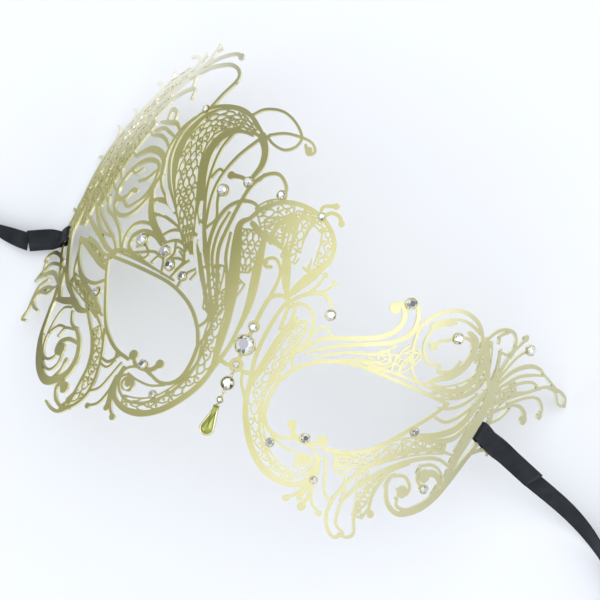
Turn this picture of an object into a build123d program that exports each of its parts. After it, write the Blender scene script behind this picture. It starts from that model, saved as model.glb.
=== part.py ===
from build123d import *
from math import cos, pi, radians, sin, tan
import os

# Venetian half mask: a bent filigree sheet with stones, a jointed pendant and two ribbon ties.
# Millimetres. The flat pattern is in (u, v): u runs round the bend from the bridge, v up the mask.
# The mask's own axes are x across, y up the mask, z out of its front. LYING lays it on its back.

os.makedirs("parts", exist_ok=True)

# ---------------------------------------------------------------- driving dimensions
sheet_thickness = 0.8
bend_radius = 80.0          # of the middle of the sheet, round the face
left_bend_ends = 62.0       # arc length at which each wing turns flatter
right_bend_ends = 75.0
left_wing_radius = 420.0
right_wing_radius = 260.0
wing_reach = 118.0          # arc length past the last stroke
rest_tilt = (-4.8, -3.1)    # turns about X and Y that set the mask on its three lowest points

wire = 0.15                 # radius of the pendant's wire
ring_radius = 0.85          # of the top ring, to the middle of its wire
eyelet_radius = 0.5
bail_radius = 0.55
pendant_level = -sheet_thickness / 2
hole_top, hole_bottom, plate_bottom = -6.95, -7.7, -8.1

ribbon_width = 6.0
ribbon_thickness = 0.4
roll_outer, roll_inner = 23.4, 13.0

# ---------------------------------------------------------------- the flat pattern
# strokes that both lobes have, right-hand side given: start, middle and end width, then (u, v) points
both_lobes = [
    (1.1, 1.1, 1.1, [(61.4, 9.7), (50, 9.3), (40, 8.8), (31, 8),
        (25, 6.4), (19.6, 3.6), (15.2, -0.8), (12.6, -5.5)]),
    (1.1, 1.1, 0.9, [(12.6, -5.5), (12.3, -10.5), (13, -15), (15.2, -18), (18.6, -19.1), (22.2, -18.2)]),
    (1.1, 1.1, 1.1, [(61.4, 9.7), (57.6, 4), (53.5, -1.2), (49, -7),
        (44.5, -11.6), (38, -15.4), (31.8, -16.7)]),
    (0.7, 0.8, 0.7, [(60, 11.6), (48, 11), (38, 10.2), (29, 9)]),
    (1.6, 1.2, 1.1, [(21.2, -14.6), (22.6, -16.6), (25.5, -17.6), (28.6, -17.2), (30.6, -15.2)]),
    (1, 1, 0.8, [(22.2, -18.2), (24.5, -17.6), (27, -17.6)]),
    (0.7, 0.7, 0.7, [(17, -19.4), (21, -21), (25.5, -21.1), (29.5, -20.4)]),
    (0.7, 0.8, 0.7, [(27, -17.4), (30, -18.6), (31.8, -20.6)]),
    (1.2, 1.8, 1.3, [(5.4, -8), (7, -14.5), (10, -20.3), (14.6, -25.9),
        (20, -29.3), (25.5, -30), (30, -28.4), (32, -25.4)]),
    (0.9, 0.8, 0.7, [(10.9, -3), (10.6, -9), (11.3, -14), (13.5, -19.4), (17.2, -23.8), (21.8, -26.8),
        (26.5, -27.4), (30, -25.6), (31.4, -22.6), (29.6, -20.8), (27, -21.4)]),
    (2, 3.4, 1.6, [(27, -24.2), (27.6, -22.6), (29.4, -22.4)]),
    (1.6, 1.9, 0.9, [(31.8, -19.6), (32.2, -25), (31.6, -31.6)]),
    (1.1, 0.9, 0.8, [(31.8, -28), (30.4, -31), (28.2, -33.3)]),
    (1, 0.8, 0.8, [(33, -22.5), (33.4, -27.5), (35.2, -31.6), (38.3, -33.4)]),
    (0.7, 0.7, 0.7, [(33.6, -18.5), (35.4, -23.5), (37.2, -27.4), (40.4, -29.6)]),
    (0.8, 1, 0.7, [(35.6, -17), (38.2, -19.6), (41.6, -19.4)]),
    (0.7, 0.7, 0.7, [(37, -15.8), (36.4, -19), (38, -21.2), (41, -21)]),
    (1.2, 1.1, 1, [(5.4, -8), (4.1, -2), (3.9, 5), (4.6, 12), (5.6, 15.5)]),
    (1.3, 1.8, 1.5, [(6, -9), (6.9, -2), (8, 6), (9.6, 12.5)]),
    (0.8, 0.9, 0.8, [(12.6, -5.5), (11.4, 0), (12.6, 5), (13.4, 9)]),
    (0.8, 0.9, 0.8, [(15.2, -0.8), (13.4, 2.6), (14.8, 7.2)]),
]

# strokes of the right lobe and its fan
right_lobe = [
    (0.9, 1, 0.8, [(6.4, 14.5), (9.4, 16.9), (12.6, 16.4), (14.8, 13.2), (15.4, 8), (14.8, 5)]),
    (0.8, 1.2, 0.8, [(5.6, 15.5), (8.4, 18.8), (10.4, 20.6), (13.6, 21.9), (16.6, 20.6), (18.2, 18.2)]),
    (0.7, 0.8, 0.6, [(9.8, 20.2), (11.4, 23.4), (12.2, 27)]),
    (0.7, 0.8, 0.6, [(11.2, 21), (14, 23), (15.4, 25.8)]),
    (0.8, 0.9, 0.7, [(10.2, 9.4), (11, 12), (13, 12.6), (13.8, 9)]),
    (0.7, 0.8, 0.7, [(15.6, 10), (17.2, 13.2), (19.4, 13.4), (21.6, 12)]),
    (1, 1, 1, [(33.2, -26.8), (33.6, -30.2), (33, -33.4)]),
    (0.9, 1.4, 1.6, [(14.2, 4.4), (19, 10.4), (27, 14.4), (33.6, 18), (37.2, 22.4),
        (37.4, 26.4), (35.4, 28.8), (33.4, 27.6), (33.9, 26.2)]),
    (0.7, 1.3, 1, [(16.2, 5), (23.5, 10.4), (32, 15), (38, 18.6),
        (41.4, 23.4), (41.2, 27.8), (39.2, 30.8), (37.2, 30.2)]),
    (0.7, 0.8, 0.7, [(19, 5), (26, 9.6), (33, 12.4), (36.4, 14.8), (38.6, 17.6)]),
    (0.7, 0.8, 0.7, [(25, 6.8), (31, 9.6), (37, 11.2)]),
    (0.7, 0.8, 0.7, [(37, 11), (38.8, 12.6), (37.6, 15), (35.2, 14.2), (35.4, 12.2)]),
    (0.6, 0.7, 0.6, [(40.4, 11), (40.2, 14), (41.2, 17.4), (42.4, 19.5)]),
    (0.6, 0.7, 0.6, [(42.4, 10.6), (42.6, 14), (44.6, 18.4)]),
    (1, 1.2, 1, [(40.4, 20.6), (43.4, 26.4), (45.4, 29.8), (49, 33.2),
        (54, 35.2), (59.4, 34.4), (63, 31.4), (64.6, 27.5)]),
    (0.8, 0.9, 0.8, [(43, 26.5), (43.2, 21.5), (44.6, 16.5), (47.2, 12.4), (50.4, 11.2)]),
    (0.9, 0.9, 1.1, [(62, 32), (56, 33), (51, 31.5), (47.6, 28), (46.2, 23.4),
        (47.4, 19.4), (50, 17.4), (53, 18.2), (54.2, 16.6)]),
    (1.8, 2.2, 1, [(46.6, 27.2), (49, 29.6), (52.6, 31.2)]),
    (1.3, 0.9, 1.2, [(49.2, 22), (50.4, 24.4), (53, 26), (56.4, 28.4), (60, 28.8), (62, 26.6)]),
    (0.8, 2.2, 1.4, [(51.4, 11.4), (54.5, 14.4), (58.6, 17.4), (61.4, 21.6),
        (62.4, 26), (61.4, 29.6), (58.4, 30.6)]),
    (0.9, 1.1, 0.8, [(54.4, 16.6), (58, 18.6), (59.4, 22)]),
    (0.9, 1.8, 1.2, [(54, 12.6), (59, 12.8), (63.4, 15), (66.8, 19.6), (67.6, 25), (65.2, 30)]),
    (0.8, 1.2, 1, [(60, 11.6), (64, 13), (68, 17), (70, 22)]),
    (1.2, 2, 1.2, [(74, 18.5), (69.6, 24), (66.4, 29), (64.6, 31.5)]),
    (0.9, 1, 0.9, [(64.4, 24), (65.2, 31.6), (68.6, 36.1), (73.6, 37.2), (76.4, 34.4), (76.6, 30.6)]),
    (0.8, 0.9, 0.7, [(71.6, 36.6), (69, 34.4), (69.6, 32.2)]),
    (0.8, 0.9, 0.7, [(76.4, 33), (74.6, 30.6), (72.4, 30.4)]),
    (1.1, 0.9, 1.3, [(74.4, 21), (75.4, 28), (77, 33), (79.4, 37.6)]),
    (0.9, 0.9, 0.9, [(75.2, 23), (78.2, 30), (80.6, 33.4), (83.2, 35.4)]),
    (0.9, 0.9, 0.7, [(73.6, 20), (73.2, 26), (71.4, 31)]),
    (1.2, 1.5, 0.6, [(74.6, 19.5), (79.6, 27), (85.6, 31.2), (91, 32.3), (94, 31.6)]),
    (1, 1, 0.6, [(75.4, 19), (82.4, 26.2), (89, 29.6), (94, 31.2)]),
    (1, 1, 0.6, [(76.2, 18), (83.4, 24.4), (90, 27.6), (95, 27)]),
    (1, 1, 0.6, [(76.6, 16.6), (83.6, 21.6), (90, 24.4)]),
    (0.6, 0.7, 0.9, [(94, 31.6), (98.6, 30.8), (104, 29.6)]),
    (1, 1, 0.9, [(76.6, 15), (84, 20.6), (91, 25), (97.4, 28.8), (104, 30), (109.4, 29.2), (111, 27)]),
    (0.8, 0.8, 0.8, [(97.4, 28.8), (103, 29), (107, 26.4), (111, 27)]),
    (0.9, 0.9, 1.2, [(84, 18.6), (90.6, 22.8), (96, 24.4), (100, 22.6), (100.4, 20)]),
    (0.9, 1, 2, [(77, 12), (82.4, 16.6), (88, 19.4), (92.6, 18.6), (93.8, 16.4)]),
    (0.8, 0.8, 0.7, [(79.6, 10.6), (83, 13.4), (85.4, 17.4)]),
    (0.9, 1.1, 0.8, [(77.4, 0), (80, 2), (82.6, 3.2), (84.6, 2.2)]),
    (3, 3.4, 2, [(75.2, 19.5), (75, 12), (73.6, 4), (72.4, -3), (72.6, -10)]),
    (1.2, 1.8, 1.2, [(76.4, 17.4), (79.4, 11.6), (78.6, 4), (76.4, -2), (74, -9),
        (71.4, -15.5), (67.4, -20.8), (61.4, -24.4), (56.4, -23), (53.6, -18.8)]),
    (1.6, 2, 1.2, [(72.4, 18), (70.6, 10), (67.6, 4.4), (62.4, 0.4), (56, -2.4)]),
    (0.9, 1, 0.9, [(70.4, 13), (67, 8), (63.2, 4.8), (59.4, 4.6)]),
    (0.8, 1.6, 1, [(72, 8), (69, 2.4), (64.6, -0.6), (58.4, -2.4)]),
    (0.9, 1, 0.9, [(70, 16), (66.4, 11.6), (62.6, 8.8), (59.4, 7.6)]),
    (0.9, 1, 1.6, [(54, -15.6), (58, -14.2), (61, -16.2), (60.9, -18.4), (58.8, -18.8)]),
    (1, 0.9, 0.8, [(53.6, -18.8), (54, -15.6), (55, -14.8)]),
    (2.6, 1.2, 0.9, [(63.6, -11.8), (67, -9.8), (70.4, -11.6), (69.6, -16.4),
        (66.4, -20.2), (63, -22.6), (59.6, -22.6), (58.6, -20.6)]),
    (0.8, 1, 0.9, [(61.6, -9.6), (62, -13), (64.8, -15)]),
    (0.8, 0.9, 0.8, [(61.4, -9.6), (65.4, -7.8), (69.6, -8.8), (71.6, -11.6)]),
    (0.9, 1.3, 0.8, [(71.4, -6), (66, -5.6), (60, -8), (54, -12.4), (49, -17.6), (45, -23.4), (43, -28)]),
    (0.8, 1, 0.8, [(71, -2.6), (64, -3.6), (57, -6.8), (50.6, -11.4), (45.4, -17), (42, -23), (40.4, -28)]),
    (0.8, 0.9, 0.7, [(57.6, -10.4), (52.6, -15), (49.2, -20.4), (48, -26)]),
    (0.8, 0.9, 0.7, [(52.4, -15.6), (51, -21), (51.2, -25.6), (52.6, -27.6)]),
    (0.9, 1, 0.9, [(40.4, -28), (40.5, -33), (42.6, -36.4), (45.4, -37.8), (47.4, -35.8)]),
    (0.7, 0.8, 0.7, [(43, -28), (43.4, -31.6), (44.4, -34.4), (47.2, -35.6)]),
    (0.8, 0.9, 0.8, [(48, -26), (48.4, -30.4), (50.4, -34.6), (48.8, -36.4), (46.4, -36.4)]),
    (0.7, 0.8, 0.7, [(41, -21), (42.5, -25), (42.8, -28)]),
]

# strokes of the left lobe and its wing, u counted outward from the bridge
left_lobe = [
    (0.9, 1.2, 0.9, [(62, -5.6), (55, -10.6), (49, -15.6), (45.6, -21),
        (45.6, -28), (46.4, -33.4), (49.2, -37.2)]),
    (0.9, 0.9, 0.9, [(46, -11.4), (42.2, -18.6), (40.5, -25), (40.6, -30.4), (43.6, -34.8), (49, -37.6)]),
    (0.7, 1.1, 0.7, [(43.4, -34.8), (48.4, -38.3), (52.6, -38.7), (57.6, -37.4)]),
    (1, 1.2, 3, [(48.6, -37.2), (53, -35.6), (55.4, -32.6), (53.8, -30.8), (51.6, -31.6)]),
    (1.2, 2.8, 1.6, [(60, -14.2), (55, -17.6), (52.4, -22.4), (53.4, -27.4), (57.6, -30.6), (63, -31.9),
        (69, -30.4), (75, -26.8), (80.4, -20.6), (83, -13), (84.4, -6)]),
    (1, 1.4, 3.2, [(54.4, -18.4), (58, -18), (62, -18.2), (65.8, -20), (65.4, -22.4), (63, -22)]),
    (1, 0.9, 0.8, [(65.8, -20.6), (64.8, -24), (68.6, -26), (73.4, -25),
        (76.4, -20.4), (76.2, -14), (73.6, -9.8), (68.4, -8.8)]),
    (0.9, 0.9, 0.9, [(61.6, -22), (61, -26), (64.2, -28.6), (69.6, -28), (75.4, -24.4), (80, -19.6)]),
    (1.2, 0.9, 0.8, [(57.4, -24.4), (57.8, -27.4), (60.6, -31)]),
    (0.8, 1, 0.8, [(59.6, -14.4), (64, -13.4), (67.6, -10)]),
    (0.8, 0.9, 0.8, [(60, -14.8), (66.6, -15.4), (69, -18.4)]),
    (0.8, 0.9, 0.8, [(66, -15.2), (71.6, -15.4), (76, -18.4)]),
    (1.4, 2.6, 1.4, [(59, -8.6), (64, -8.6), (69.4, -7), (75, -7.6), (82, -8)]),
    (1.2, 1.2, 0.9, [(56.4, 2.2), (62, 0.2), (70, 0.8), (77, 3.8), (82, 8), (86, 12.4)]),
    (1.3, 2, 1.2, [(58.6, 5.4), (64, 6.4), (71, 8.6), (78, 10.6), (86, 12.6)]),
    (0.9, 1, 0.8, [(61, 9.6), (67, 9.8), (73, 12), (79.4, 12.6), (84.8, 12.4)]),
    (1.2, 1.8, 0.9, [(58, 10.4), (65, 11.8), (73, 14.8), (81, 17.4), (90, 21)]),
    (1, 1, 0.8, [(57.6, 11), (62.6, 14.6), (72, 18.4), (80, 22), (86, 27)]),
    (1, 1.2, 0.8, [(57, 13.4), (62, 17.8), (69, 21.2), (76, 23.6), (80, 28)]),
    (1, 1.2, 0.8, [(64, 15.4), (74, 16.6), (84, 22.4), (92, 29)]),
    (0.8, 0.9, 0.8, [(50, -8), (57, -4.4), (63, -2.4), (69, -0.8), (76, 2.6)]),
    (0.8, 0.9, 0.8, [(49, -10.4), (56, -7), (63, -4.6), (70, -2.2), (78, 1), (83, 8)]),
    (1.2, 2, 1.4, [(66, -7.6), (74, -4.6), (81, -1.2), (88, 5), (93, 10.6), (97, 17)]),
    (1.2, 1.4, 1.2, [(84.4, -8), (87, -2.4), (91.4, 2.6), (96.4, 8), (100.2, 14), (99.8, 19)]),
    (1.6, 2, 1.4, [(80, -7.6), (84, -4), (87.4, 2)]),
    (1, 1.8, 0.8, [(87, -3), (93, -0.6), (98, -1), (104, -3), (107, -4.6)]),
    (1, 1.2, 0.8, [(89, 2), (94, 2.6), (100, 2), (104, -1), (106.4, -3.6)]),
    (1, 1.4, 0.8, [(91, 4), (96, 5.6), (101, 6), (105.6, 4.6), (107, 2.6)]),
    (1, 1.6, 0.8, [(88, -5), (94, -5.6), (99, -8), (100, -11), (97, -12.6), (92.4, -13.4)]),
    (1, 1.4, 0.9, [(96, -3), (101, -6), (101.6, -10), (101, -14), (102.4, -17.4), (98.6, -17.6)]),
    (1, 1.2, 0.8, [(86.4, -4), (91, -7), (95, -7.4), (99, -8)]),
    (1, 1, 0.8, [(99, -2), (103.4, -1.4), (105.4, 2), (107, 2.6)]),
    (1, 1.8, 1.4, [(55.4, 35.4), (57.2, 40.2), (62, 41.5), (67.6, 40.6), (72.4, 37.6), (75.4, 33.4),
        (75.2, 29), (71.6, 27.4), (68, 28.6), (66, 31), (63, 31)]),
    (0.9, 1.2, 0.8, [(55.4, 36), (56.8, 30.6), (60, 27.4), (64.4, 25.6), (69.4, 27.6)]),
    (0.8, 1.4, 1.2, [(54, 38), (54.4, 32), (57, 26.6), (61.6, 23.2),
        (67.6, 22.6), (72.6, 24.4), (75.8, 29.4)]),
    (0.9, 1.4, 0.8, [(56.2, 39.4), (60, 35.6), (64.6, 34.2)]),
    (0.8, 0.9, 0.9, [(72.4, 37.4), (69, 36.4), (65.8, 38.2)]),
    (1.5, 2.4, 1, [(53.4, 37.5), (56.4, 42.6), (62, 44.6), (68, 44.6), (74.6, 42)]),
    (0.9, 1.8, 1, [(38.6, 17), (43.6, 19.4), (49.4, 19.4), (53.2, 17), (52.6, 13.8), (49, 12.2)]),
    (0.8, 1.1, 0.9, [(40.4, 19.6), (44, 21.8), (51, 22.2), (55.6, 20.4), (57.2, 16.6), (55.4, 12.2)]),
    (1, 2.6, 1.2, [(38, 18.4), (43.4, 20.8), (48.6, 24.4), (52.4, 29), (54.6, 33)]),
    (0.8, 1, 0.8, [(36, 24), (43, 25.6), (49.4, 25.4)]),
    (1, 1.8, 0.9, [(39.6, 27.6), (45, 30), (50, 29.8), (52.4, 28.6)]),
    (0.8, 0.9, 0.8, [(50.6, 12.2), (46, 13.4), (41, 14.8), (38.4, 14.4)]),
    (0.9, 1.2, 0.9, [(61, 10), (57, 12.2), (50.6, 12.2), (44, 11.2), (38, 10.2)]),
    (0.8, 0.9, 0.8, [(38.4, 18.6), (38.6, 14.6), (36, 13.6), (34.4, 9.6)]),
    (0.8, 0.9, 0.8, [(34.4, 19.6), (33.2, 16.4), (34.6, 13.6)]),
    (0.8, 0.9, 0.8, [(28, 15.2), (31, 15.4), (33.8, 14.4)]),
    (0.8, 0.9, 0.8, [(30.8, 9.2), (29.4, 12.6), (27.2, 15.8)]),
    (0.8, 0.9, 0.8, [(27, 7.4), (26.4, 11.6), (23, 15)]),
    (0.9, 1.1, 0.8, [(23.4, 20.6), (29, 19.4), (34, 20.2), (38.2, 18.4)]),
    (0.9, 1, 0.8, [(26.4, 23.6), (32, 23.6), (37.4, 22.6), (41, 19.9)]),
    (0.9, 1.4, 0.9, [(56, 46), (60, 48.4), (65, 49.6), (70, 49.4)]),
    (0.9, 1.2, 0.9, [(55, 49.6), (60, 51), (65, 52.2), (70, 51)]),
    (0.9, 1.6, 0.9, [(54, 51.4), (58, 54), (63, 54.2), (68.6, 54)]),
    (0.9, 1.4, 0.9, [(64.6, 53.8), (65.6, 58.4), (61.6, 57.6), (60.6, 54)]),
    (1, 1.4, 1, [(74.8, 29), (82, 33), (86, 40), (84.6, 49), (78.6, 57),
        (70.6, 64), (63.6, 69.6), (57, 75.4), (55.4, 81)]),
    (1, 1.4, 1, [(79, 26), (87.6, 31), (92.4, 40), (90.6, 49), (84.6, 57),
        (78.6, 63), (71, 68.6), (63, 73.4), (60, 78)]),
    (1, 1.6, 1, [(97, 17), (99.6, 25), (99.6, 35), (97, 43.6), (92, 51),
        (86, 57.6), (80, 62.8), (76, 67.6), (75.4, 71)]),
    (1, 1.2, 0.9, [(90, 21), (95, 30), (96.4, 38), (94.4, 46)]),
    (0.9, 1.2, 0.9, [(74.4, 42), (79, 44), (81, 49), (77, 54.6),
        (70.6, 60), (65, 64), (58, 66), (57, 62.6)]),
    (0.9, 1.2, 0.9, [(70, 49.4), (75, 52), (74, 57), (69, 62)]),
    (0.9, 1.2, 0.9, [(75.6, 33), (80, 37), (80.6, 42.6), (78, 44)]),
    (0.8, 1, 0.8, [(59.4, 66), (60, 70), (58, 74.4)]),
    (0.9, 1, 0.8, [(62, 74.4), (65, 76.6), (69, 76.4)]),
    (0.9, 1, 0.8, [(57, 75), (56, 78.6), (53.4, 80)]),
    (0.9, 1, 0.8, [(79, 64), (81.4, 67), (84.4, 67)]),
    (0.9, 1, 0.8, [(89.4, 53.6), (89.6, 57), (93, 57.6)]),
    (0.9, 1, 0.8, [(95.4, 46), (96.4, 50), (100, 51.6)]),
    (0.9, 1, 0.8, [(98.4, 39), (100.6, 40.4), (103, 40.2)]),
    (0.9, 1, 0.8, [(99.4, 22), (101.4, 21), (103, 21.6)]),
    (0.9, 1, 0.8, [(54.4, 73.4), (60, 71), (64, 69)]),
]

# strokes of the bridge, the medallion and the plume, u positive to the right
plume = [
    (1, 2.6, 1.2, [(-3.6, 4), (-4.2, 12), (-6, 20), (-7.6, 27), (-8.6, 31.6)]),
    (1.4, 3.4, 1.2, [(-7.4, 3), (-9.6, 11), (-12.6, 19), (-15.4, 26), (-16.8, 31), (-14.8, 33.4)]),
    (0.9, 1, 0.8, [(-10.2, 8), (-13.4, 15.4), (-16.6, 21), (-18.4, 27.6)]),
    (0.9, 1.2, 0.9, [(-12, 6), (-16, 14), (-19.6, 22), (-20, 30), (-19.6, 38),
        (-18.6, 43), (-16, 46.8), (-12.4, 48.2), (-9, 46), (-7.6, 42.4)]),
    (0.9, 1.3, 0.9, [(-13, 5), (-18.4, 13), (-22.8, 21), (-24.2, 28),
        (-23.2, 33.6), (-20, 37), (-16, 38), (-12, 36.4)]),
    (0.8, 1, 0.8, [(-17.2, 14), (-20.8, 20), (-22.2, 27), (-21.6, 33)]),
    (1, 1.6, 1, [(-14, 4.4), (-20.4, 12.6), (-25.8, 20), (-28.6, 27)]),
    (1.1, 3.2, 1.6, [(-20, 15.4), (-27.6, 26), (-33.4, 34.6), (-37, 42.6),
        (-37.8, 48.6), (-35.8, 53.4), (-31.4, 56.6), (-27, 57)]),
    (0.9, 0.9, 0.9, [(-26.6, 26.6), (-24.8, 30), (-26.8, 34.4), (-28, 37.6)]),
    (0.8, 0.9, 1, [(-27, 26.6), (-29.6, 35), (-29.8, 41.6), (-27.4, 49), (-22.8, 56.2)]),
    (0.8, 0.9, 0.8, [(-28.6, 29), (-32.2, 36.6), (-34, 44), (-34, 50.4), (-32, 56)]),
    (0.8, 0.9, 0.7, [(-32.8, 41), (-31.4, 43.8), (-29.4, 43.6)]),
    (1, 3.6, 1.4, [(-22, 14), (-31, 23.4), (-40, 31.4), (-47.2, 39.4),
        (-50.6, 46), (-50, 52), (-46.4, 57.4), (-42, 60.4)]),
    (0.9, 1.2, 0.9, [(-27.6, 18), (-38, 26.8), (-47, 34.6), (-52.6, 42),
        (-54, 48), (-52.6, 53.6), (-49, 58.2)]),
    (0.9, 1, 0.9, [(-40, 28.6), (-47, 31.6), (-52.4, 35.8), (-55.8, 43.4),
        (-56, 48.6), (-54, 53.4), (-50.4, 57)]),
    (0.9, 1.2, 1, [(-49, 58.2), (-45, 61), (-39, 62.6), (-33, 62.8), (-28, 61.2), (-22.4, 57.4)]),
    (0.8, 1, 0.9, [(-43, 60.4), (-37, 61), (-31, 60.8), (-25, 58.6)]),
    (0.8, 1, 0.9, [(-27, 57), (-24.6, 57), (-22.4, 56.4)]),
    (2.6, 2, 1.3, [(-22.6, 57), (-19.6, 53.2), (-18.6, 49), (-19.6, 45)]),
    (0.8, 0.8, 0.8, [(-29, 62), (-25.6, 64.8), (-20, 65.8), (-15, 64.2), (-11, 60.8),
        (-11.2, 57.6), (-14, 55.4), (-18, 55.8), (-21, 57.4)]),
    (0.8, 0.8, 0.9, [(-20.6, 58), (-16, 60), (-10.6, 60.5), (-7.2, 60),
        (-5.4, 58), (-7, 56.6), (-8.8, 58.8)]),
    (1.8, 1.2, 1.6, [(-26.4, 43.3), (-23, 43.7), (-20, 43.2)]),
    (0.9, 0.9, 0.9, [(-20, 43.2), (-17.4, 44.6), (-16.6, 46.6)]),
    (0.8, 1.2, 0.9, [(-46.6, 59.4), (-43.4, 65.6), (-40.2, 71), (-41.4, 74),
        (-45.4, 75.2), (-50, 74.6), (-55, 73.2), (-61, 71)]),
    (0.7, 0.9, 1.4, [(-58, 73.6), (-52, 77), (-46, 78.8), (-43, 78.4)]),
    (1.3, 1.3, 1.3, [(-14.8, 33.4), (-12.4, 37.6), (-8, 41), (-3, 42.4), (2.6, 42),
        (7.4, 39.8), (10.8, 36), (11.6, 31.4), (10.2, 27)]),
    (0.9, 2.8, 1.2, [(11.4, 31), (9.4, 26.4), (7, 21.6), (5.2, 17.4)]),
    (0.8, 2.6, 1.2, [(-1.4, 30), (0.8, 25.6), (3, 20.6), (4.8, 17.4)]),
    (1, 1, 1.4, [(7.6, 25.6), (6.2, 30), (3.6, 35.4), (2.6, 40)]),
    (0.8, 0.8, 0.9, [(6.8, 26), (5.4, 27), (2.6, 33), (2.4, 37)]),
    (0.8, 1.2, 2.2, [(-2.6, 30), (-3.6, 34), (-2.6, 38)]),
    (0.8, 1.2, 2.2, [(-6, 29), (-6.4, 34), (-3.4, 38.4)]),
    (0.8, 1.2, 1.8, [(0.4, 28), (-0.4, 33), (-1.6, 38)]),
    (1.6, 2.2, 1, [(-13.4, 32.4), (-9, 30.4), (-5, 30), (-2, 29)]),
    (0.8, 0.9, 1.3, [(3.8, 41.8), (3.6, 44.4), (6.8, 46)]),
    (0.9, 1, 1.4, [(4.6, 41.4), (6.2, 43.6), (8.8, 43.7), (10.3, 41.9)]),
    (1.2, 1.2, 1, [(0, 4.6), (0.1, 11), (0.8, 15), (3.2, 16.8), (5.2, 16.6)]),
    (0.9, 0.9, 1, [(0.1, 11), (0.7, 18), (0.2, 23), (-2.6, 25.6), (-5, 24.4), (-4.4, 22.6), (-2.8, 23)]),
    (0.9, 1, 0.9, [(4.8, 17.2), (6.4, 14.4), (7, 8)]),
    (0.9, 1, 0.9, [(5.2, 17), (8.2, 15.2), (9, 11)]),
    (1.4, 1.1, 1.4, [(-5.4, -6.4), (-2.4, -6.9), (0, -6.2), (2.4, -6.9), (5.4, -6.4)]),
    (1.2, 1.2, 1.2, [(0, 4.4), (0, 0), (0, -7)]),
    (0.8, 0.8, 0.8, [(2.6, -7.4), (3.6, -10), (6.6, -14)]),
    (0.8, 0.8, 0.8, [(-3.9, 0), (0, 0), (3.9, 0)]),
]

# round seats and knobs: u, v, radius
both_dots = [
    (21.1, -14.4, 1.3), (30.7, -15, 1.5), (28.1, -33.4, 1), (38.4, -33.5, 0.9), (31.5, -31.8, 0.9),
    (25.9, -16.6, 1.6), (28.3, -23.1, 2.2),
]

# the right lobe's
right_dots = [
    (33.9, 27.1, 1.6), (49.2, 22.3, 1.2), (79.4, 37.8, 1.1), (83.2, 35.5, 1.7), (100.4, 20.2, 1.2),
    (93.7, 16.6, 1.5), (59.3, -18.4, 1.8), (52.8, -27.8, 1.1), (33, -33.8, 1.2), (64.2, -11.6, 2),
    (66, -15, 1.5), (54.9, -1.7, 1.6), (18.2, 17.4, 1.7), (37.6, 30.2, 1.8), (55.4, 27.6, 1.8),
    (33, -25.8, 1.4), (17.6, -21.6, 1.4), (12.2, 27, 0.8), (15.5, 25.9, 0.8),
]

# the left lobe's, u counted outward
left_dots = [
    (51.5, -31.6, 1.8), (63, -21.8, 2.1), (57.2, -24.2, 0.9), (47.6, 17, 2.1), (36.6, 16, 1.9),
    (32.6, 12.6, 1.8), (26.8, 11, 1.6), (58, -2, 1.8), (19, -23, 1.3),
]

# the bridge's and the plume's
plume_dots = [
    (-26.6, 43.3, 1.2), (-20, 43.1, 1.8), (-8.9, 42.9, 1.6), (-26.8, 38.4, 1.9), (-43, 78.3, 1.1),
    (-47.4, 60.2, 1.4), (6.9, 46, 0.9), (10.3, 42, 0.9), (4.4, 41.6, 1.4), (0, 0, 3), (0, 5.8, 1.7),
    (0, -6, 2.1), (-5, 23.6, 0.9), (-7.2, 57.8, 1),
]

# stones on the sheet, u, v, diameter; each list is one size family
wide_stones = [(-47.6, 17, 4), (-36.6, 16, 3.6), (-26.8, 38.4, 3.4), (37.6, 30.2, 3.4)]
middle_stones = [(-32.6, 12.6, 3.2), (18.2, 17.4, 3.2), (55.4, 27.6, 3.2), (83.2, 35.5, 3.2),
                 (-20, 43.1, 3)]
narrow_stones = [(26, -16.4, 2.8), (-26, -16.4, 2.8), (-26.8, 11, 2.8), (0, 5.4, 2.6), (66, -15, 2.6),
                 (17.6, -21.6, 2.6), (-58, -2, 2.6), (-8.9, 42.9, 2.6), (54.9, -1.7, 2.6)]
small_stones = [(4.4, 41.6, 2.2), (-47.4, 60.2, 2.2), (33, -25.8, 2.2), (-19, -23, 2.2), (0, -5.9, 2)]


# ---------------------------------------------------------------- the bend
def section(u):
    """Point (x, z) of the sheet's front at arc length u, and the angle its normal leans outward."""
    side = -1 if u < 0 else 1
    bend_ends = left_bend_ends if u < 0 else right_bend_ends
    wing_radius = left_wing_radius if u < 0 else right_wing_radius
    inner = min(abs(u), bend_ends) / bend_radius
    outer = inner + max(abs(u) - bend_ends, 0) / wing_radius
    x = bend_radius * sin(inner) + wing_radius * (sin(outer) - sin(inner))
    z = -bend_radius * (1 - cos(inner)) - wing_radius * (cos(inner) - cos(outer))
    return side * x, z, side * outer


def below(u, depth):
    """Point (x, z) at a depth under the front."""
    x, z, lean = section(u)
    return x - depth * sin(lean), z - depth * cos(lean)


def bend_arc(u_from, u_to, depth):
    return ThreePointArc(below(u_from, depth), below((u_from + u_to) / 2, depth), below(u_to, depth))


# ---------------------------------------------------------------- the filigree
def side_of(width_list, t):
    """Half width at t of the way along a stroke that swells between its ends."""
    start, middle, end = width_list
    tip = start if t < 0.5 else end
    return (tip + (middle - tip) * sin(pi * t)) / 2


def blade(start, middle, end, points, side=1):
    """Face of one stroke, foreshortened across the bend."""
    path = [(u * side, v) for u, v in points]
    line = Spline(*path) if len(path) > 2 else Line(*path)
    steps = 2 * (len(path) - 1)
    left, right = [], []
    for i in range(steps + 1):
        here, along = line @ (i / steps), line % (i / steps)
        half = side_of((start, middle, end), i / steps)
        left.append((section(here.X - half * along.Y)[0], here.Y + half * along.X))
        right.append((section(here.X + half * along.Y)[0], here.Y - half * along.X))
    edges = [Spline(*left), Line(left[-1], right[-1]), Spline(*reversed(right)), Line(right[0], left[0])]
    return make_face(Curve() + edges)


def seat_disc(u, v, radius, side=1):
    return Pos(section(u * side)[0], v) * Circle(radius)


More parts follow.
